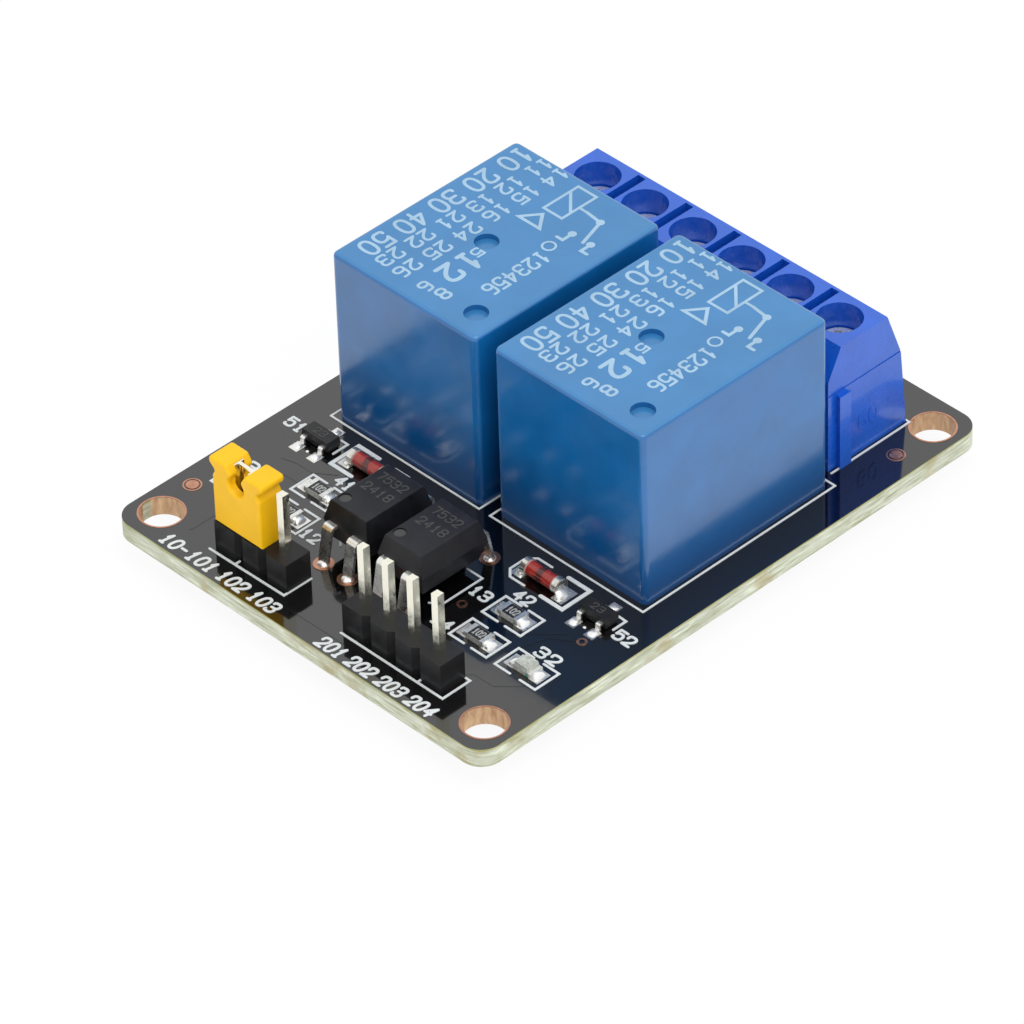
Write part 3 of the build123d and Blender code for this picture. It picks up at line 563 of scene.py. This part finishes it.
def chip_look():
    """Chip resistor: tinned ends, pale ceramic sides and a black glaze between the ends."""
    look = Look("chip_body", (0.8, 0.8, 0.78), 0.3)
    x, y, z = look.shares()
    ends = look.above(look.size_of(look.math("SUBTRACT", y, 0.5)), 0.31)
    inside = look.below(look.size_of(look.math("SUBTRACT", x, 0.5)), 0.46)
    glazed = look.times(look.above(z, 0.8), inside)
    ceramic = look.patchy((0.42, 0.42, 0.40), (0.60, 0.60, 0.57), 0.3)
    tin = look.patchy((0.62, 0.62, 0.60), (0.86, 0.86, 0.83), 0.25, 4)
    glaze = look.patchy((0.010, 0.010, 0.011), (0.024, 0.024, 0.026), 0.3)
    look.colour(look.mix(ends, look.mix(glazed, ceramic, glaze), tin))
    look.link(look.times(ends, 0.85), look.shader.inputs["Metallic"])
    look.roughness(0.2, 0.35, 0.3)
    look.bump(0.006, 0.3, 0.6)
    return look


def diode_look():
    """Glass diode: tinned caps, dark clear glass and the red body with its dark chip inside."""
    dark_chip, dark_glass, seal_metal = (0.035, 0.012, 0.012), (0.022, 0.012, 0.016), (0.55, 0.50, 0.46)
    look = Look("diode_glass", (0.4, 0.04, 0.02), 0.08, coat=0.4, coat_roughness=0.03)
    off = look.size_of(look.math("SUBTRACT", look.shares()[1], 0.5))
    caps = look.above(off, 0.37)
    seal = look.above(off, 0.34)
    core = look.below(look.math("ADD", off, look.remap(look.noise(0.4), -0.03, 0.03)), 0.08)
    red = look.patchy((0.24, 0.012, 0.009), (0.42, 0.034, 0.020), 0.5)
    body = look.mix(look.times(core, 0.8), red, dark_chip)
    glass = look.mix(look.remap(look.rim(), 0.0, 1.0, 0.45, 0.8), body, dark_glass)
    middle = look.mix(look.times(seal, 0.6), glass, seal_metal)
    look.colour(look.mix(caps, middle, look.patchy((0.55, 0.53, 0.48), (0.82, 0.80, 0.73), 0.3)))
    look.link(look.times(caps, 0.9), look.shader.inputs["Metallic"])
    look.roughness(0.06, 0.16, 0.4)
    look.bump(0.004, 0.4, 0.5)
    return look


def lamp_look():
    """Indicator lamp: milky clear lens, tinned ends and a green mark at the foot of one end."""
    look = Look("lamp_plastic", (0.6, 0.62, 0.56), 0.25, coat=0.5)
    x, y, z = look.shares()
    off = look.math("SUBTRACT", y, 0.5)
    ends = look.above(look.size_of(off), 0.38)
    mark = look.times(look.below(z, 0.42), look.below(off, -0.22))
    milky = look.patchy((0.36, 0.38, 0.32), (0.60, 0.62, 0.56), 0.35)
    body = look.mix(look.times(mark, 0.75), milky, (0.03, 0.30, 0.20))
    look.colour(look.mix(ends, body, look.patchy((0.50, 0.51, 0.49), (0.75, 0.75, 0.72), 0.25)))
    look.roughness(0.15, 0.35, 0.4)
    look.bump(0.01, 0.3, 0.6)
    return look


def coupler_look():
    """Dark moulding compound of the optocouplers, with a fine matt grain."""
    dark = (0.010, 0.010, 0.012)
    look = Look("coupler_plastic", dark, 0.38, ior=1.42)
    look.colour(look.patchy(grade(dark, 0.7), grade(dark, 1.5), 1.2))
    look.roughness(0.30, 0.44, 0.6)
    look.bump(0.008, 0.12, 0.6, detail=4)
    return look


def screw_look():
    """Bright clamp screw, with painted shade: its recess and its shank are painted darker than the face of
    its head.
    """
    look = Look("screw_metal", (0.9, 0.9, 0.88), 0.24, metallic=0.7)
    face = look.above(look.axes()[2], (SCREW_TOP - SCREW_FACE_DEPTH) * MM)
    streaks = look.patches(0.8, 0)
    # Painted shade for everything below the face: the recess, the side of the head and the shank.
    shaded_recess = look.mix(streaks, (0.16, 0.16, 0.15), (0.34, 0.34, 0.32))
    look.colour(look.mix(face, shaded_recess, look.mix(streaks, (0.84, 0.84, 0.82), (0.93, 0.93, 0.91))))
    look.roughness(0.22, 0.34, 1.2)
    look.bump(0.0015, 0.8, 0.5, detail=0)
    return look


def coil_look():
    """Copper wire wound in turns about the upright core."""
    copper, turn_height = (0.70, 0.30, 0.13), 0.5
    look = Look("coil_wire", copper, 0.3, metallic=0.6, coat=0.3)
    look.colour(look.patchy(grade(copper, 0.8), grade(copper, 1.15), 1.0))
    turns = look.new("ShaderNodeTexWave")
    turns.bands_direction = "Z"
    turns.inputs["Scale"].default_value = 1 / (turn_height * MM)
    look.link(look.place, turns.inputs["Vector"])
    look.bump(0.05, turn_height, 0.8, height=turns.outputs["Fac"])
    look.roughness(0.22, 0.36)
    return look


looks = {
    "board": board_look(),
    "trace": trace_look(),
    "solder": metal("solder", (0.90, 0.90, 0.88), 0.26, 0.06, 0.0015, 0.8, metallic=0.75),
    "terminal": moulded("terminal_plastic", (0.008, 0.104, 0.58), 0.28, 0.006, coat=0.4, spread=0.08),
    "tinned": metal("tinned_metal", (0.84, 0.83, 0.79), 0.26, 0.1, 0.002, metallic=0.92),
    "header": moulded("header_plastic", (0.009, 0.009, 0.010), 0.34, 0.008, spread=0.3, ior=1.36),
    "pin": metal("plated_pin", (0.93, 0.91, 0.78), 0.16, 0.05, stretch=(1, 1, 0.15)),
    "jumper": moulded("jumper_plastic", (0.95, 0.53, 0.003), 0.42, 0.004, spread=0.05, ior=1.4),
    "coupler": coupler_look(),
    "diode": diode_look(),
    "package": moulded("package_plastic", (0.012, 0.012, 0.013), 0.4, 0.006, ior=1.42),
    "screw": screw_look(),
    "chip": chip_look(),
    "lamp": lamp_look(),
    "relay": relay_look(),
    "relay_base": moulded("relay_base_plastic", (0.012, 0.07, 0.26), 0.45),
    "iron": metal("magnet_iron", (0.55, 0.55, 0.53), 0.35),
    "bobbin": moulded("bobbin_plastic", (0.66, 0.64, 0.58), 0.5),
    "coil": coil_look(),
    "contact": metal("contact_metal", (0.80, 0.50, 0.26), 0.28),
    "ink": moulded("white_ink", (0.70, 0.73, 0.73), 0.5, 0.006, spread=0.06),
    "print": moulded("pale_print", (0.33, 0.50, 0.65), 0.45, 0.006, spread=0.08),
    "copper": metal("bare_copper", (0.60, 0.30, 0.20), 0.3, 0.2),
    "faint": moulded("faint_print", (0.065, 0.065, 0.060), 0.5, 0.004, ior=1.42),
    "chip_ink": moulded("chip_ink", (0.42, 0.43, 0.42), 0.5, 0.004),
}

RELAY_DRESSING = {
    "case": "relay", "base": "relay_base", "yoke": "iron", "core": "iron", "armature": "iron",
    "bobbin": "bobbin", "coil": "coil", "coil_pins": "tinned", "contact_spring": "contact",
    "closed_terminal": "contact", "open_terminal": "contact",
}
DRESSING = {
    "circuit_board": "board", "solder_joints": "solder", "terminal_housing": "terminal",
    "terminal_contacts": "tinned", "jumper_cap": "jumper", "jumper_clip": "pin", "transistor_leads": "tinned",
}
for k in (3, 4):
    DRESSING[f"header_{k}_insulator"] = "header"
    DRESSING[f"header_{k}_pins"] = "pin"
for k in (1, 2):
    DRESSING[f"optocoupler_{k}_body"] = "coupler"
    DRESSING[f"optocoupler_{k}_leads"] = "tinned"
    DRESSING[f"diode_{k}"] = "diode"
    DRESSING[f"transistor_{k}"] = "package"
    DRESSING[f"indicator_lamp_{k}"] = "lamp"
    for part, look in RELAY_DRESSING.items():
        DRESSING[f"relay_{k}_{part}"] = look
for k in range(1, 5):
    DRESSING[f"resistor_{k}"] = "chip"
for k in range(1, 7):
    DRESSING[f"wire_guard_{k}"] = "tinned"
    DRESSING[f"clamp_screw_{k}"] = "screw"
for node, look in DRESSING.items():
    dress(node, looks[look])

# Silkscreen on the board: its ink, its three line widths, and the points of its outlines
INK = layer(BOARD_TOP, 0.04)
THIN, MEDIUM, THICK = 0.17, 0.2, 0.34
RELAY_FRAMES = (((-6.81, -0.73), (13.15, -16.49)), ((-6.81, 0.41), (13.0, 16.21)))
HEADER_LINES = (
    [(-23.46, -2.5), (-23.44, -12.97), (-20.72, -12.97), (-20.72, -12.5)],
    [(-23.36, -10.38), (-23.0, -10.38)],
    [(-23.58, 11.3), (-23.45, 3.5), (-20.81, 3.47), (-20.81, 3.9)],
    [(-23.42, 8.64), (-23.05, 8.64)],
)
TERMINAL_LINE = [(14.0, -15.3), (22.37, -15.3), (22.37, 15.3), (14.0, 15.3)]
COUPLER_LINE = [(-16.76, 4.64), (-16.01, 5.45), (-12.18, 5.45), (-12.18, 3.86)]
TRANSISTOR_LINES = (
    [(-9.69, -16.35), (-8.4, -16.35), (-8.37, -15.61)],
    [(-8.35, -13.05), (-8.35, -13.73)],
    [(-9.8, 12.8), (-8.32, 12.8), (-8.32, 13.51)],
    [(-8.35, 15.2), (-8.35, 15.9)],
)

# Frames of the chips: two opposite corners, and the gap on each side of their middle
RESISTOR_FRAMES = (
    ((-18.16, -11.98), (-15.8, -8.17)),
    ((-14.8, -12.05), (-12.4, -8.12)),
    ((-14.8, 8.35), (-12.5, 12.06)),
    ((-18.1, 8.0), (-15.7, 11.9)),
)
RESISTOR_FRAME_GAP = 0.38
LAMP_FRAMES = (((-18.2, -17.0), (-15.8, -12.91)), ((-18.2, 12.91), (-15.8, 17.0)))
LAMP_FRAME_GAP = 0.5

# Frames of the diodes: X of their left sides with the side of the board they are on, their width, how
# far their snouts narrow, and how far from the middle line they narrow, bend, break and end
DIODE_FRAMES = ((-10.65, -1), (-10.7, 1))
DIODE_FRAME_WIDTH = 2.85
DIODE_SNOUT_CUT = 0.65
DIODE_SNOUT, DIODE_BEND, DIODE_BREAK, DIODE_RESTART, DIODE_END = 6.1, 6.75, 8.2, 9.9, 12.1

# Labels: text, place of its lower left corner and length
HEADER_LABELS = (("10-101 102 103", (-25.5, 14.75), 11.9), ("201 202 203 204", (-25.6, -1.95), 11.6))
HEADER_LABEL_HEIGHT, HEADER_LABEL_LINE, HEADER_LABEL_SLANT = 1.1, 0.23, 0.2
PART_LABELS = (
    ("51", (-9.85, 18.1), 1.6), ("12", (-18.0, 7.8), 1.6), ("11", (-14.0, 7.8), 1.6),
    ("13", (-13.95, -5.8), 1.65), ("14", (-18.1, -6.1), 1.6), ("42", (-12.15, -8.4), 1.6),
    ("52", (-10.3, -16.8), 1.65), ("41", (-12.1, 10.4), 1.5), ("32", (-15.5, -14.1), 2.0),
    ("31", (-15.5, 16.4), 2.0),
)
PART_LABEL_HEIGHT, PART_LABEL_LINE = 1.0, 0.22


def chip_frame(bm, first, last, gap):
    """Two brackets round a small part, with a gap halfway along each long side."""
    (x0, y0), (x1, y1) = first, last
    middle = (y0 + y1) / 2
    ribbon(bm, [(x0, middle + gap), (x0, y1), (x1, y1), (x1, middle + gap)], MEDIUM, *INK)
    ribbon(bm, [(x0, middle - gap), (x0, y0), (x1, y0), (x1, middle - gap)], MEDIUM, *INK)


def diode_frame(bm, x0, flip):
    """A bracket with a cut-off snout, and a thick bracket on the diode's other end."""
    x1 = x0 + DIODE_FRAME_WIDTH
    near, bend, far, start, end = (
        flip * y for y in (DIODE_SNOUT, DIODE_BEND, DIODE_BREAK, DIODE_RESTART, DIODE_END)
    )
    snout = [(x0 + DIODE_SNOUT_CUT, near), (x1 - DIODE_SNOUT_CUT, near)]
    ribbon(bm, [(x0, far), (x0, bend), *snout, (x1, bend), (x1, far)], MEDIUM, *INK)
    ribbon(bm, [(x0, start), (x0, end), (x1, end), (x1, start)], THICK, *INK)


def silk_lines():
    bm = bmesh.new()
    for first, last in RELAY_FRAMES:
        ribbon(bm, rectangle(first, last), THIN, *INK, closed=True)
    for points in HEADER_LINES:
        ribbon(bm, points, MEDIUM, *INK)
    ribbon(bm, TERMINAL_LINE, THIN, *INK)
    for flip in (1, -1):
        ribbon(bm, [(x, flip * y) for x, y in COUPLER_LINE], THIN, *INK)
    for first, last in RESISTOR_FRAMES:
        chip_frame(bm, first, last, RESISTOR_FRAME_GAP)
    for first, last in LAMP_FRAMES:
        chip_frame(bm, first, last, LAMP_FRAME_GAP)
    for x0, flip in DIODE_FRAMES:
        diode_frame(bm, x0, flip)
    for points in TRANSISTOR_LINES:
        ribbon(bm, points, MEDIUM, *INK)
    finish_mesh("silk_lines", bm, looks["ink"])


def silk_numbers():
    bm = bmesh.new()
    for text, start, length in HEADER_LABELS:
        write(bm, text, start, length, HEADER_LABEL_HEIGHT, HEADER_LABEL_LINE, *INK, slant=HEADER_LABEL_SLANT)
    for text, start, length in PART_LABELS:
        write(bm, text, start, length, PART_LABEL_HEIGHT, PART_LABEL_LINE, *INK)
    finish_mesh("silk_numbers", bm, looks["ink"])


silk_lines()
silk_numbers()

# Traces under the mask: points and width. The lower ones are given for the half with positive Y,
# and are drawn as if on the top before they are turned under.
TRACE = layer(BOARD_TOP, 0.018)
UPPER_TRACES = (
    ([(-21.0, -10.6), (-19.3, -12.4), (-19.25, -14.3), (-18.2, -15.4), (-17.0, -15.6)], 1.5),
    ([(-20.1, -2.0), (-19.4, -1.2), (-19.4, 1.3)], 0.5),
    ([(-22.9, 14.0), (-20.7, 14.0), (-18.4, 14.6)], 0.3),
    ([(-12.6, 15.2), (-12.25, 14.0), (-12.25, 12.4), (-11.2, 10.9)], 0.35),
    ([(-13.8, 13.6), (-13.75, 11.6)], 0.35),
    ([(-24.1, 2.2), (-24.05, -3.4)], 0.3),
    ([(-15.2, -11.2), (-12.3, -14.2)], 0.25),
    ([(-12.5, -15.1), (-13.4, -13.6), (-15.4, -12.9)], 0.3),
)
LOWER_TRACES = (
    ([(-6.4, 3.2), (-8.6, 5.2), (-8.6, 11.6)], 0.6),
    ([(-19.0, 1.5), (-21.0, 3.2), (-22.1, 6.0)], 0.5),
    ([(-10.2, 4.2), (-11.9, 6.2), (-12.1, 12.4)], 0.4),
)
WAYS = 6
WAY_STEP = 5.08
WAY_TRACE_WIDTH = 2.2
WAY_NUMBER_X = 20.6
WAY_NUMBER_LENGTH, WAY_NUMBER_HEIGHT, WAY_NUMBER_LINE = 1.0, 1.5, 0.25

# Bare copper: rings round the holes, vias and leads, and two marks for placing the parts
PAD = layer(BOARD_TOP, 0.03)
THIN_PAD = layer(BOARD_TOP, 0.02)
MARK_PAD = layer(BOARD_TOP, 0.012)
HOLE_RING_WIDTH = 0.14
VIAS = ((-15.18, -6.44), (-12.17, -15.67), (-13.0, 6.4))
VIA_HOLE, VIA_RING = 0.22, 0.42
MARKS = ((-19.45, 17.67), (18.87, -17.23))
MARK_RADIUS = 0.5
MARK_RING = (0.62, 0.74)
LEAD_HOLE, LEAD_RING = 0.4, 0.8


def turn_under(bm):
    """Moves what lies on the board's top to its underside."""
    middle = (0, 0, BOARD_TOP / 2)
    bmesh.ops.rotate(bm, cent=middle, matrix=Matrix.Rotation(math.pi, 3, "X"), verts=bm.verts)


def way_trace(y, flip):
    """Points of the wide trace from a way of the terminal block towards the relays."""
    inner = y * 0.9 + flip * 0.5
    return [(16.5, y), (12.6, inner), (9.6, inner)]


def copper_work():
    bm = bmesh.new()
    for points, width in UPPER_TRACES:
        ribbon(bm, points, width, *TRACE)
    finish_mesh("masked_traces", bm, looks["trace"])

    bm = bmesh.new()
    for flip in (1, -1):
        for way in range(WAYS // 2):
            y = flip * WAY_STEP * (way + 0.5)
            ribbon(bm, way_trace(y, flip), WAY_TRACE_WIDTH, *TRACE)
        for points, width in LOWER_TRACES:
            ribbon(bm, [(x, flip * y) for x, y in points], width, *TRACE)
    turn_under(bm)
    finish_mesh("lower_traces", bm, looks["trace"])

    bm = bmesh.new()
    for number in range(WAYS):
        middle = WAY_STEP * ((WAYS - 1) / 2 - number)
        write(bm, str(WAYS - number), (WAY_NUMBER_X, middle - WAY_NUMBER_LENGTH / 2), WAY_NUMBER_LENGTH,
              WAY_NUMBER_HEIGHT, WAY_NUMBER_LINE, *INK, along=(0, 1), up=(-1, 0))
    turn_under(bm)
    finish_mesh("lower_numbers", bm, looks["ink"])

    bm = bmesh.new()
    for spot in HOLE_PLACES:
        ring(bm, spot, HOLE_RADIUS, HOLE_RADIUS + HOLE_RING_WIDTH, *THIN_PAD, 64)
    for spot in VIAS:
        ring(bm, spot, VIA_HOLE, VIA_RING, *PAD, 24)
    for spot in MARKS:
        ring(bm, spot, 0.0, MARK_RADIUS, *PAD)
        ring(bm, spot, *MARK_RING, *MARK_PAD)
    for spot in COUPLER_LEADS:
        ring(bm, spot, LEAD_HOLE, LEAD_RING, *PAD)
    finish_mesh("bare_copper", bm, looks["copper"])


# Tinned pads, and the solder on them. For each kind of part: how far its pads and its mounds lie from
# its middle, half the length and width of both, the mound's height, and its lean towards the part.
CHIP_PAD_REACH, CHIP_PAD, CHIP_MOUND_REACH, CHIP_MOUND = 1.28, (0.68, 0.46), 1.2, (0.58, 0.36)
CHIP_MOUND_HEIGHT, CHIP_MOUND_LEAN = 0.42, 0.14
DIODE_PAD_REACH, DIODE_PAD, DIODE_MOUND_REACH, DIODE_MOUND = 2.1, (0.85, 0.55), 2.02, (0.66, 0.36)
DIODE_MOUND_HEIGHT, DIODE_MOUND_LEAN, DIODE_MOUND_SHIFT = 0.5, 0.16, -0.1
FOOT_REACH, FOOT_PAD, FOOT_MOUND = 1.55, (0.5, 0.44), (0.42, 0.38)
FOOT_MOUND_HEIGHT, FOOT_MOUND_LEAN = 0.26, 0.12
TRANSISTOR_FEET = ((-1, 0.95), (-1, -0.95), (1, 0))
DROP_SHIFT, DROP_SIZE, DROP_HEIGHT = -1.4, (0.15, 0.15), 0.1
LEAD_MOUND, LEAD_MOUND_HEIGHT = (0.5, 0.5), 0.28


def solder_work():
    solder, pads = bmesh.new(), bmesh.new()
    for (x, y), end in itertools.product(RESISTORS + LAMPS, (-1, 1)):
        pad(pads, (x, y + end * CHIP_PAD_REACH), CHIP_PAD, *PAD)
        mound(solder, (x, y + end * CHIP_MOUND_REACH), CHIP_MOUND, CHIP_MOUND_HEIGHT,
              lean=(0, -end * CHIP_MOUND_LEAN))
    for (x, y), end in itertools.product(DIODES, (-1, 1)):
        pad(pads, (x, y + end * DIODE_PAD_REACH), DIODE_PAD, *PAD)
        mound(solder, (x + DIODE_MOUND_SHIFT, y + end * DIODE_MOUND_REACH), DIODE_MOUND, DIODE_MOUND_HEIGHT,
              lean=(0, -end * DIODE_MOUND_LEAN))
    for x, y in TRANSISTORS:
        for side, row in TRANSISTOR_FEET:
            foot = (x + side * FOOT_REACH, y + row)
            pad(pads, foot, FOOT_PAD, *PAD)
            mound(solder, foot, FOOT_MOUND, FOOT_MOUND_HEIGHT, lean=(-side * FOOT_MOUND_LEAN, 0))
        mound(solder, (x + DROP_SHIFT, y), DROP_SIZE, DROP_HEIGHT, power=2)
    for spot in COUPLER_LEADS:
        mound(solder, spot, LEAD_MOUND, LEAD_MOUND_HEIGHT, power=2)
    finish_mesh("solder_mounds", solder, looks["solder"], smooth=True)
    finish_mesh("solder_pads", pads, looks["tinned"])


copper_work()
solder_work()

# Print on the relay tops, from each relay's centre: plain numbers, as text, place, length, height and
# line width, then the strokes of a plain drawing of a coil, a triangle and the contacts
RELAY_PRINT = layer(RELAY_TOP, 0.004)
RELAY_NUMBERS = (
    ("10 20 30 40 50", (8.9, 6.7), 16.6, 1.7, 0.27),
    ("11 12 13", (9.2, 4.45), 8.0, 1.2, 0.22),
    ("14 15 16", (9.2, 2.75), 8.0, 1.2, 0.22),
    ("21 22 23", (0.2, 4.55), 8.1, 1.2, 0.22),
    ("24 25 26", (0.1, 2.65), 8.1, 1.2, 0.22),
    ("123456", (1.0, -3.45), 5.9, 1.3, 0.22),
    ("12", (-2.7, 0.35), 3.1, 1.9, 0.36),
    ("5", (-1.8, 0.2), 0.7, 0.9, 0.18),
    ("6", (-7.2, 0.1), 0.75, 1.1, 0.22),
    ("8", (-6.9, -1.4), 0.75, 1.2, 0.24),
)
FINE_STROKE, BOLD_STROKE = 0.24, 0.28
COIL_BOX = ((8.6, 0.1), (5.0, -1.8))
COIL_STROKES = ([(7.8, 0.1), (5.9, -1.8)], [(6.8, -1.8), (6.8, -2.6)])
TRIANGLE = [(3.0, 0.7), (4.4, -0.4), (3.0, -1.5)]
CONTACT_STROKES = (
    [(6.8, -2.6), (6.6, -4.2), (4.0, -5.0)],
    [(4.2, -3.7), (3.2, -3.7), (3.2, -3.1)],
    [(4.2, -5.6), (3.2, -5.6), (3.2, -6.2)],
)
CONTACT_DOTS = ((6.6, -4.2), (4.2, -3.7), (4.2, -5.6))
CONTACT_DOT_RADIUS = 0.34
CIRCLE, CIRCLE_INNER, CIRCLE_OUTER = (2.0, -3.5), 0.42, 0.6


def relay_print(number):
    bm = bmesh.new()
    cx, cy = centre_of(f"relay_{number}_case")

    def stroke(points, width=FINE_STROKE, closed=False):
        ribbon(bm, [(cx + x, cy + y) for x, y in points], width, *RELAY_PRINT, closed=closed)

    for text, (x, y), length, height, line in RELAY_NUMBERS:
        write(bm, text, (cx + x, cy + y), length, height, line, *RELAY_PRINT, along=(-1, 0), up=(0, -1))
    (right, top), (left, bottom) = COIL_BOX
    stroke([(right, top), (left, top), (left, bottom), (right, bottom)], closed=True)
    for points in COIL_STROKES:
        stroke(points)
    stroke(TRIANGLE, BOLD_STROKE, closed=True)
    for points in CONTACT_STROKES:
        stroke(points, BOLD_STROKE)
    for x, y in CONTACT_DOTS:
        ring(bm, (cx + x, cy + y), 0.0, CONTACT_DOT_RADIUS, *RELAY_PRINT, 20)
    ring(bm, (cx + CIRCLE[0], cy + CIRCLE[1]), CIRCLE_INNER, CIRCLE_OUTER, *RELAY_PRINT, 24)
    finish_mesh(f"relay_{number}_print", bm, looks["print"])


for number in (1, 2):
    relay_print(number)

# Small marks on the packages and the chips: texts with their places from the part's middle, then
# their length, height and line width
SMALL_PRINT_RELIEF = 0.008
COUPLER_TEXTS = (("7532", (1.15, 1.35)), ("2418", (-0.35, 1.35)))
COUPLER_TEXT_SIZE = (2.7, 0.8, 0.1)
DIMPLE, DIMPLE_RADIUS, DIMPLE_DEPTH, DIMPLE_PAINT = (-2.0, 1.25), 0.46, 0.13, 0.015
TRANSISTOR_TEXT, TRANSISTOR_TEXT_PLACE, TRANSISTOR_TEXT_SIZE = "23", (-0.3, 0.55), (1.1, 0.6, 0.09)
CHIP_TEXT, CHIP_TEXT_PLACE, CHIP_TEXT_SIZE = "102", (-0.3, 0.47), (0.94, 0.6, 0.1)
CHIP_PRINT_SINK = 0.04

# The number on the end of the terminal block, which lies as far out as the block's other end
END_NUMBER, END_NUMBER_PLACE, END_NUMBER_SIZE = "60", (17.25, 3.7), (1.9, 1.4, 0.2)
END_NUMBER_RELIEF = 0.025


def small_print():
    bm = bmesh.new()
    for x, y in COUPLERS:
        for text, (dx, dy) in COUPLER_TEXTS:
            write(bm, text, (x + dx, y + dy), *COUPLER_TEXT_SIZE, *layer(COUPLER_TOP, SMALL_PRINT_RELIEF))
        floor = COUPLER_TOP - DIMPLE_DEPTH
        ring(bm, (x + DIMPLE[0], y + DIMPLE[1]), 0.0, DIMPLE_RADIUS, floor, floor + DIMPLE_PAINT, 24)
    dx, dy = TRANSISTOR_TEXT_PLACE
    for x, y in TRANSISTORS:
        write(bm, TRANSISTOR_TEXT, (x + dx, y + dy), *TRANSISTOR_TEXT_SIZE,
              *layer(TRANSISTOR_TOP, SMALL_PRINT_RELIEF))
    finish_mesh("package_print", bm, looks["faint"])

    bm = bmesh.new()
    dx, dy = CHIP_TEXT_PLACE
    for x, y in RESISTORS:
        write(bm, CHIP_TEXT, (x + dx, y + dy), *CHIP_TEXT_SIZE,
              *layer(CHIP_TOP - CHIP_PRINT_SINK, SMALL_PRINT_RELIEF))
    finish_mesh("chip_print", bm, looks["chip_ink"])

    bm = bmesh.new()
    write(bm, END_NUMBER, END_NUMBER_PLACE, *END_NUMBER_SIZE, *layer(0.0, END_NUMBER_RELIEF),
          along=(1, 0), up=(0, 1))
    bmesh.ops.rotate(bm, cent=(0, 0, 0), matrix=Matrix.Rotation(math.pi / 2, 3, "X"), verts=bm.verts)
    bmesh.ops.translate(bm, vec=(0, -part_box("terminal_housing")[1][1] / MM, 0), verts=bm.verts)
    finish_mesh("terminal_number", bm, looks["terminal"])


small_print()

# World, floor and lamp. What is seen directly, mirrored or through glass is white, and what the world
# casts is softer. The lamp's place and size are in metres.
SEEN_RAYS = ("Is Camera Ray", "Is Glossy Ray", "Is Transmission Ray")
WORLD_LIGHT, WORLD_TINT = 0.84, (0.97, 0.98, 1)
FLOOR_GLOW = 0.93
FLOOR_REACH = 900
FLOOR_GAP = 0.05
LAMP_PLACE = (-0.08, -0.24, 0.60)
LAMP_SIZE = 0.40
LAMP_POWER = 1.9


def make_world():
    world = bpy.data.worlds.new("world")
    bpy.context.scene.world = world
    world.use_nodes = True
    tree = world.node_tree
    tree.nodes.clear()
    out = tree.nodes.new("ShaderNodeOutputWorld")
    rays = tree.nodes.new("ShaderNodeLightPath")

    def backdrop(strength, tint=(1, 1, 1)):
        node = tree.nodes.new("ShaderNodeBackground")
        node.inputs["Color"].default_value = (*tint, 1)
        node.inputs["Strength"].default_value = strength
        return node

    surface = backdrop(WORLD_LIGHT, WORLD_TINT)
    for kind in SEEN_RAYS:
        both = tree.nodes.new("ShaderNodeMixShader")
        tree.links.new(rays.outputs[kind], both.inputs[0])
        tree.links.new(surface.outputs[0], both.inputs[1])
        tree.links.new(backdrop(1.0).outputs[0], both.inputs[2])
        surface = both
    tree.links.new(surface.outputs[0], out.inputs["Surface"])


def floor_look():
    """Pale floor that takes the object's shadow, and glows for the rays that see it."""
    look = Look("floor", (0.92, 0.92, 0.91), 0.6)
    look.colour(look.patchy((0.90, 0.90, 0.89), (0.94, 0.94, 0.93), 40.0))
    look.bump(0.02, 1.5, 0.2)
    glow = look.new("ShaderNodeEmission")
    glow.inputs["Color"].default_value = (1, 1, 1, 1)
    rays = look.new("ShaderNodeLightPath")
    seen = rays.outputs[SEEN_RAYS[0]]
    for kind in SEEN_RAYS[1:]:
        seen = look.math("MAXIMUM", seen, rays.outputs[kind])
    both = look.new("ShaderNodeMixShader")
    look.link(look.times(seen, FLOOR_GLOW), both.inputs[0])
    look.link(look.shader.outputs[0], both.inputs[1])
    look.link(glow.outputs[0], both.inputs[2])
    look.link(both.outputs[0], look.out.inputs["Surface"])
    return look


def make_floor():
    bm = bmesh.new()
    bmesh.ops.create_grid(bm, x_segments=8, y_segments=8, size=FLOOR_REACH)
    bmesh.ops.translate(bm, vec=(0, 0, cad_box[0][2] / MM - FLOOR_GAP), verts=bm.verts)
    floor = finish_mesh("floor", bm, floor_look(), body=None)


def make_lamp():
    """A square lamp that faces the object."""
    data = bpy.data.lights.new("overhead", "AREA")
    data.shape = "RECTANGLE"
    data.size = LAMP_SIZE
    data.size_y = LAMP_SIZE
    data.energy = LAMP_POWER
    lamp = bpy.data.objects.new("overhead", data)
    bpy.context.scene.collection.objects.link(lamp)
    lamp.location = LAMP_PLACE
    lamp.rotation_euler = (-Vector(LAMP_PLACE)).to_track_quat("-Z", "Y").to_euler()


make_world()
make_floor()
make_lamp()
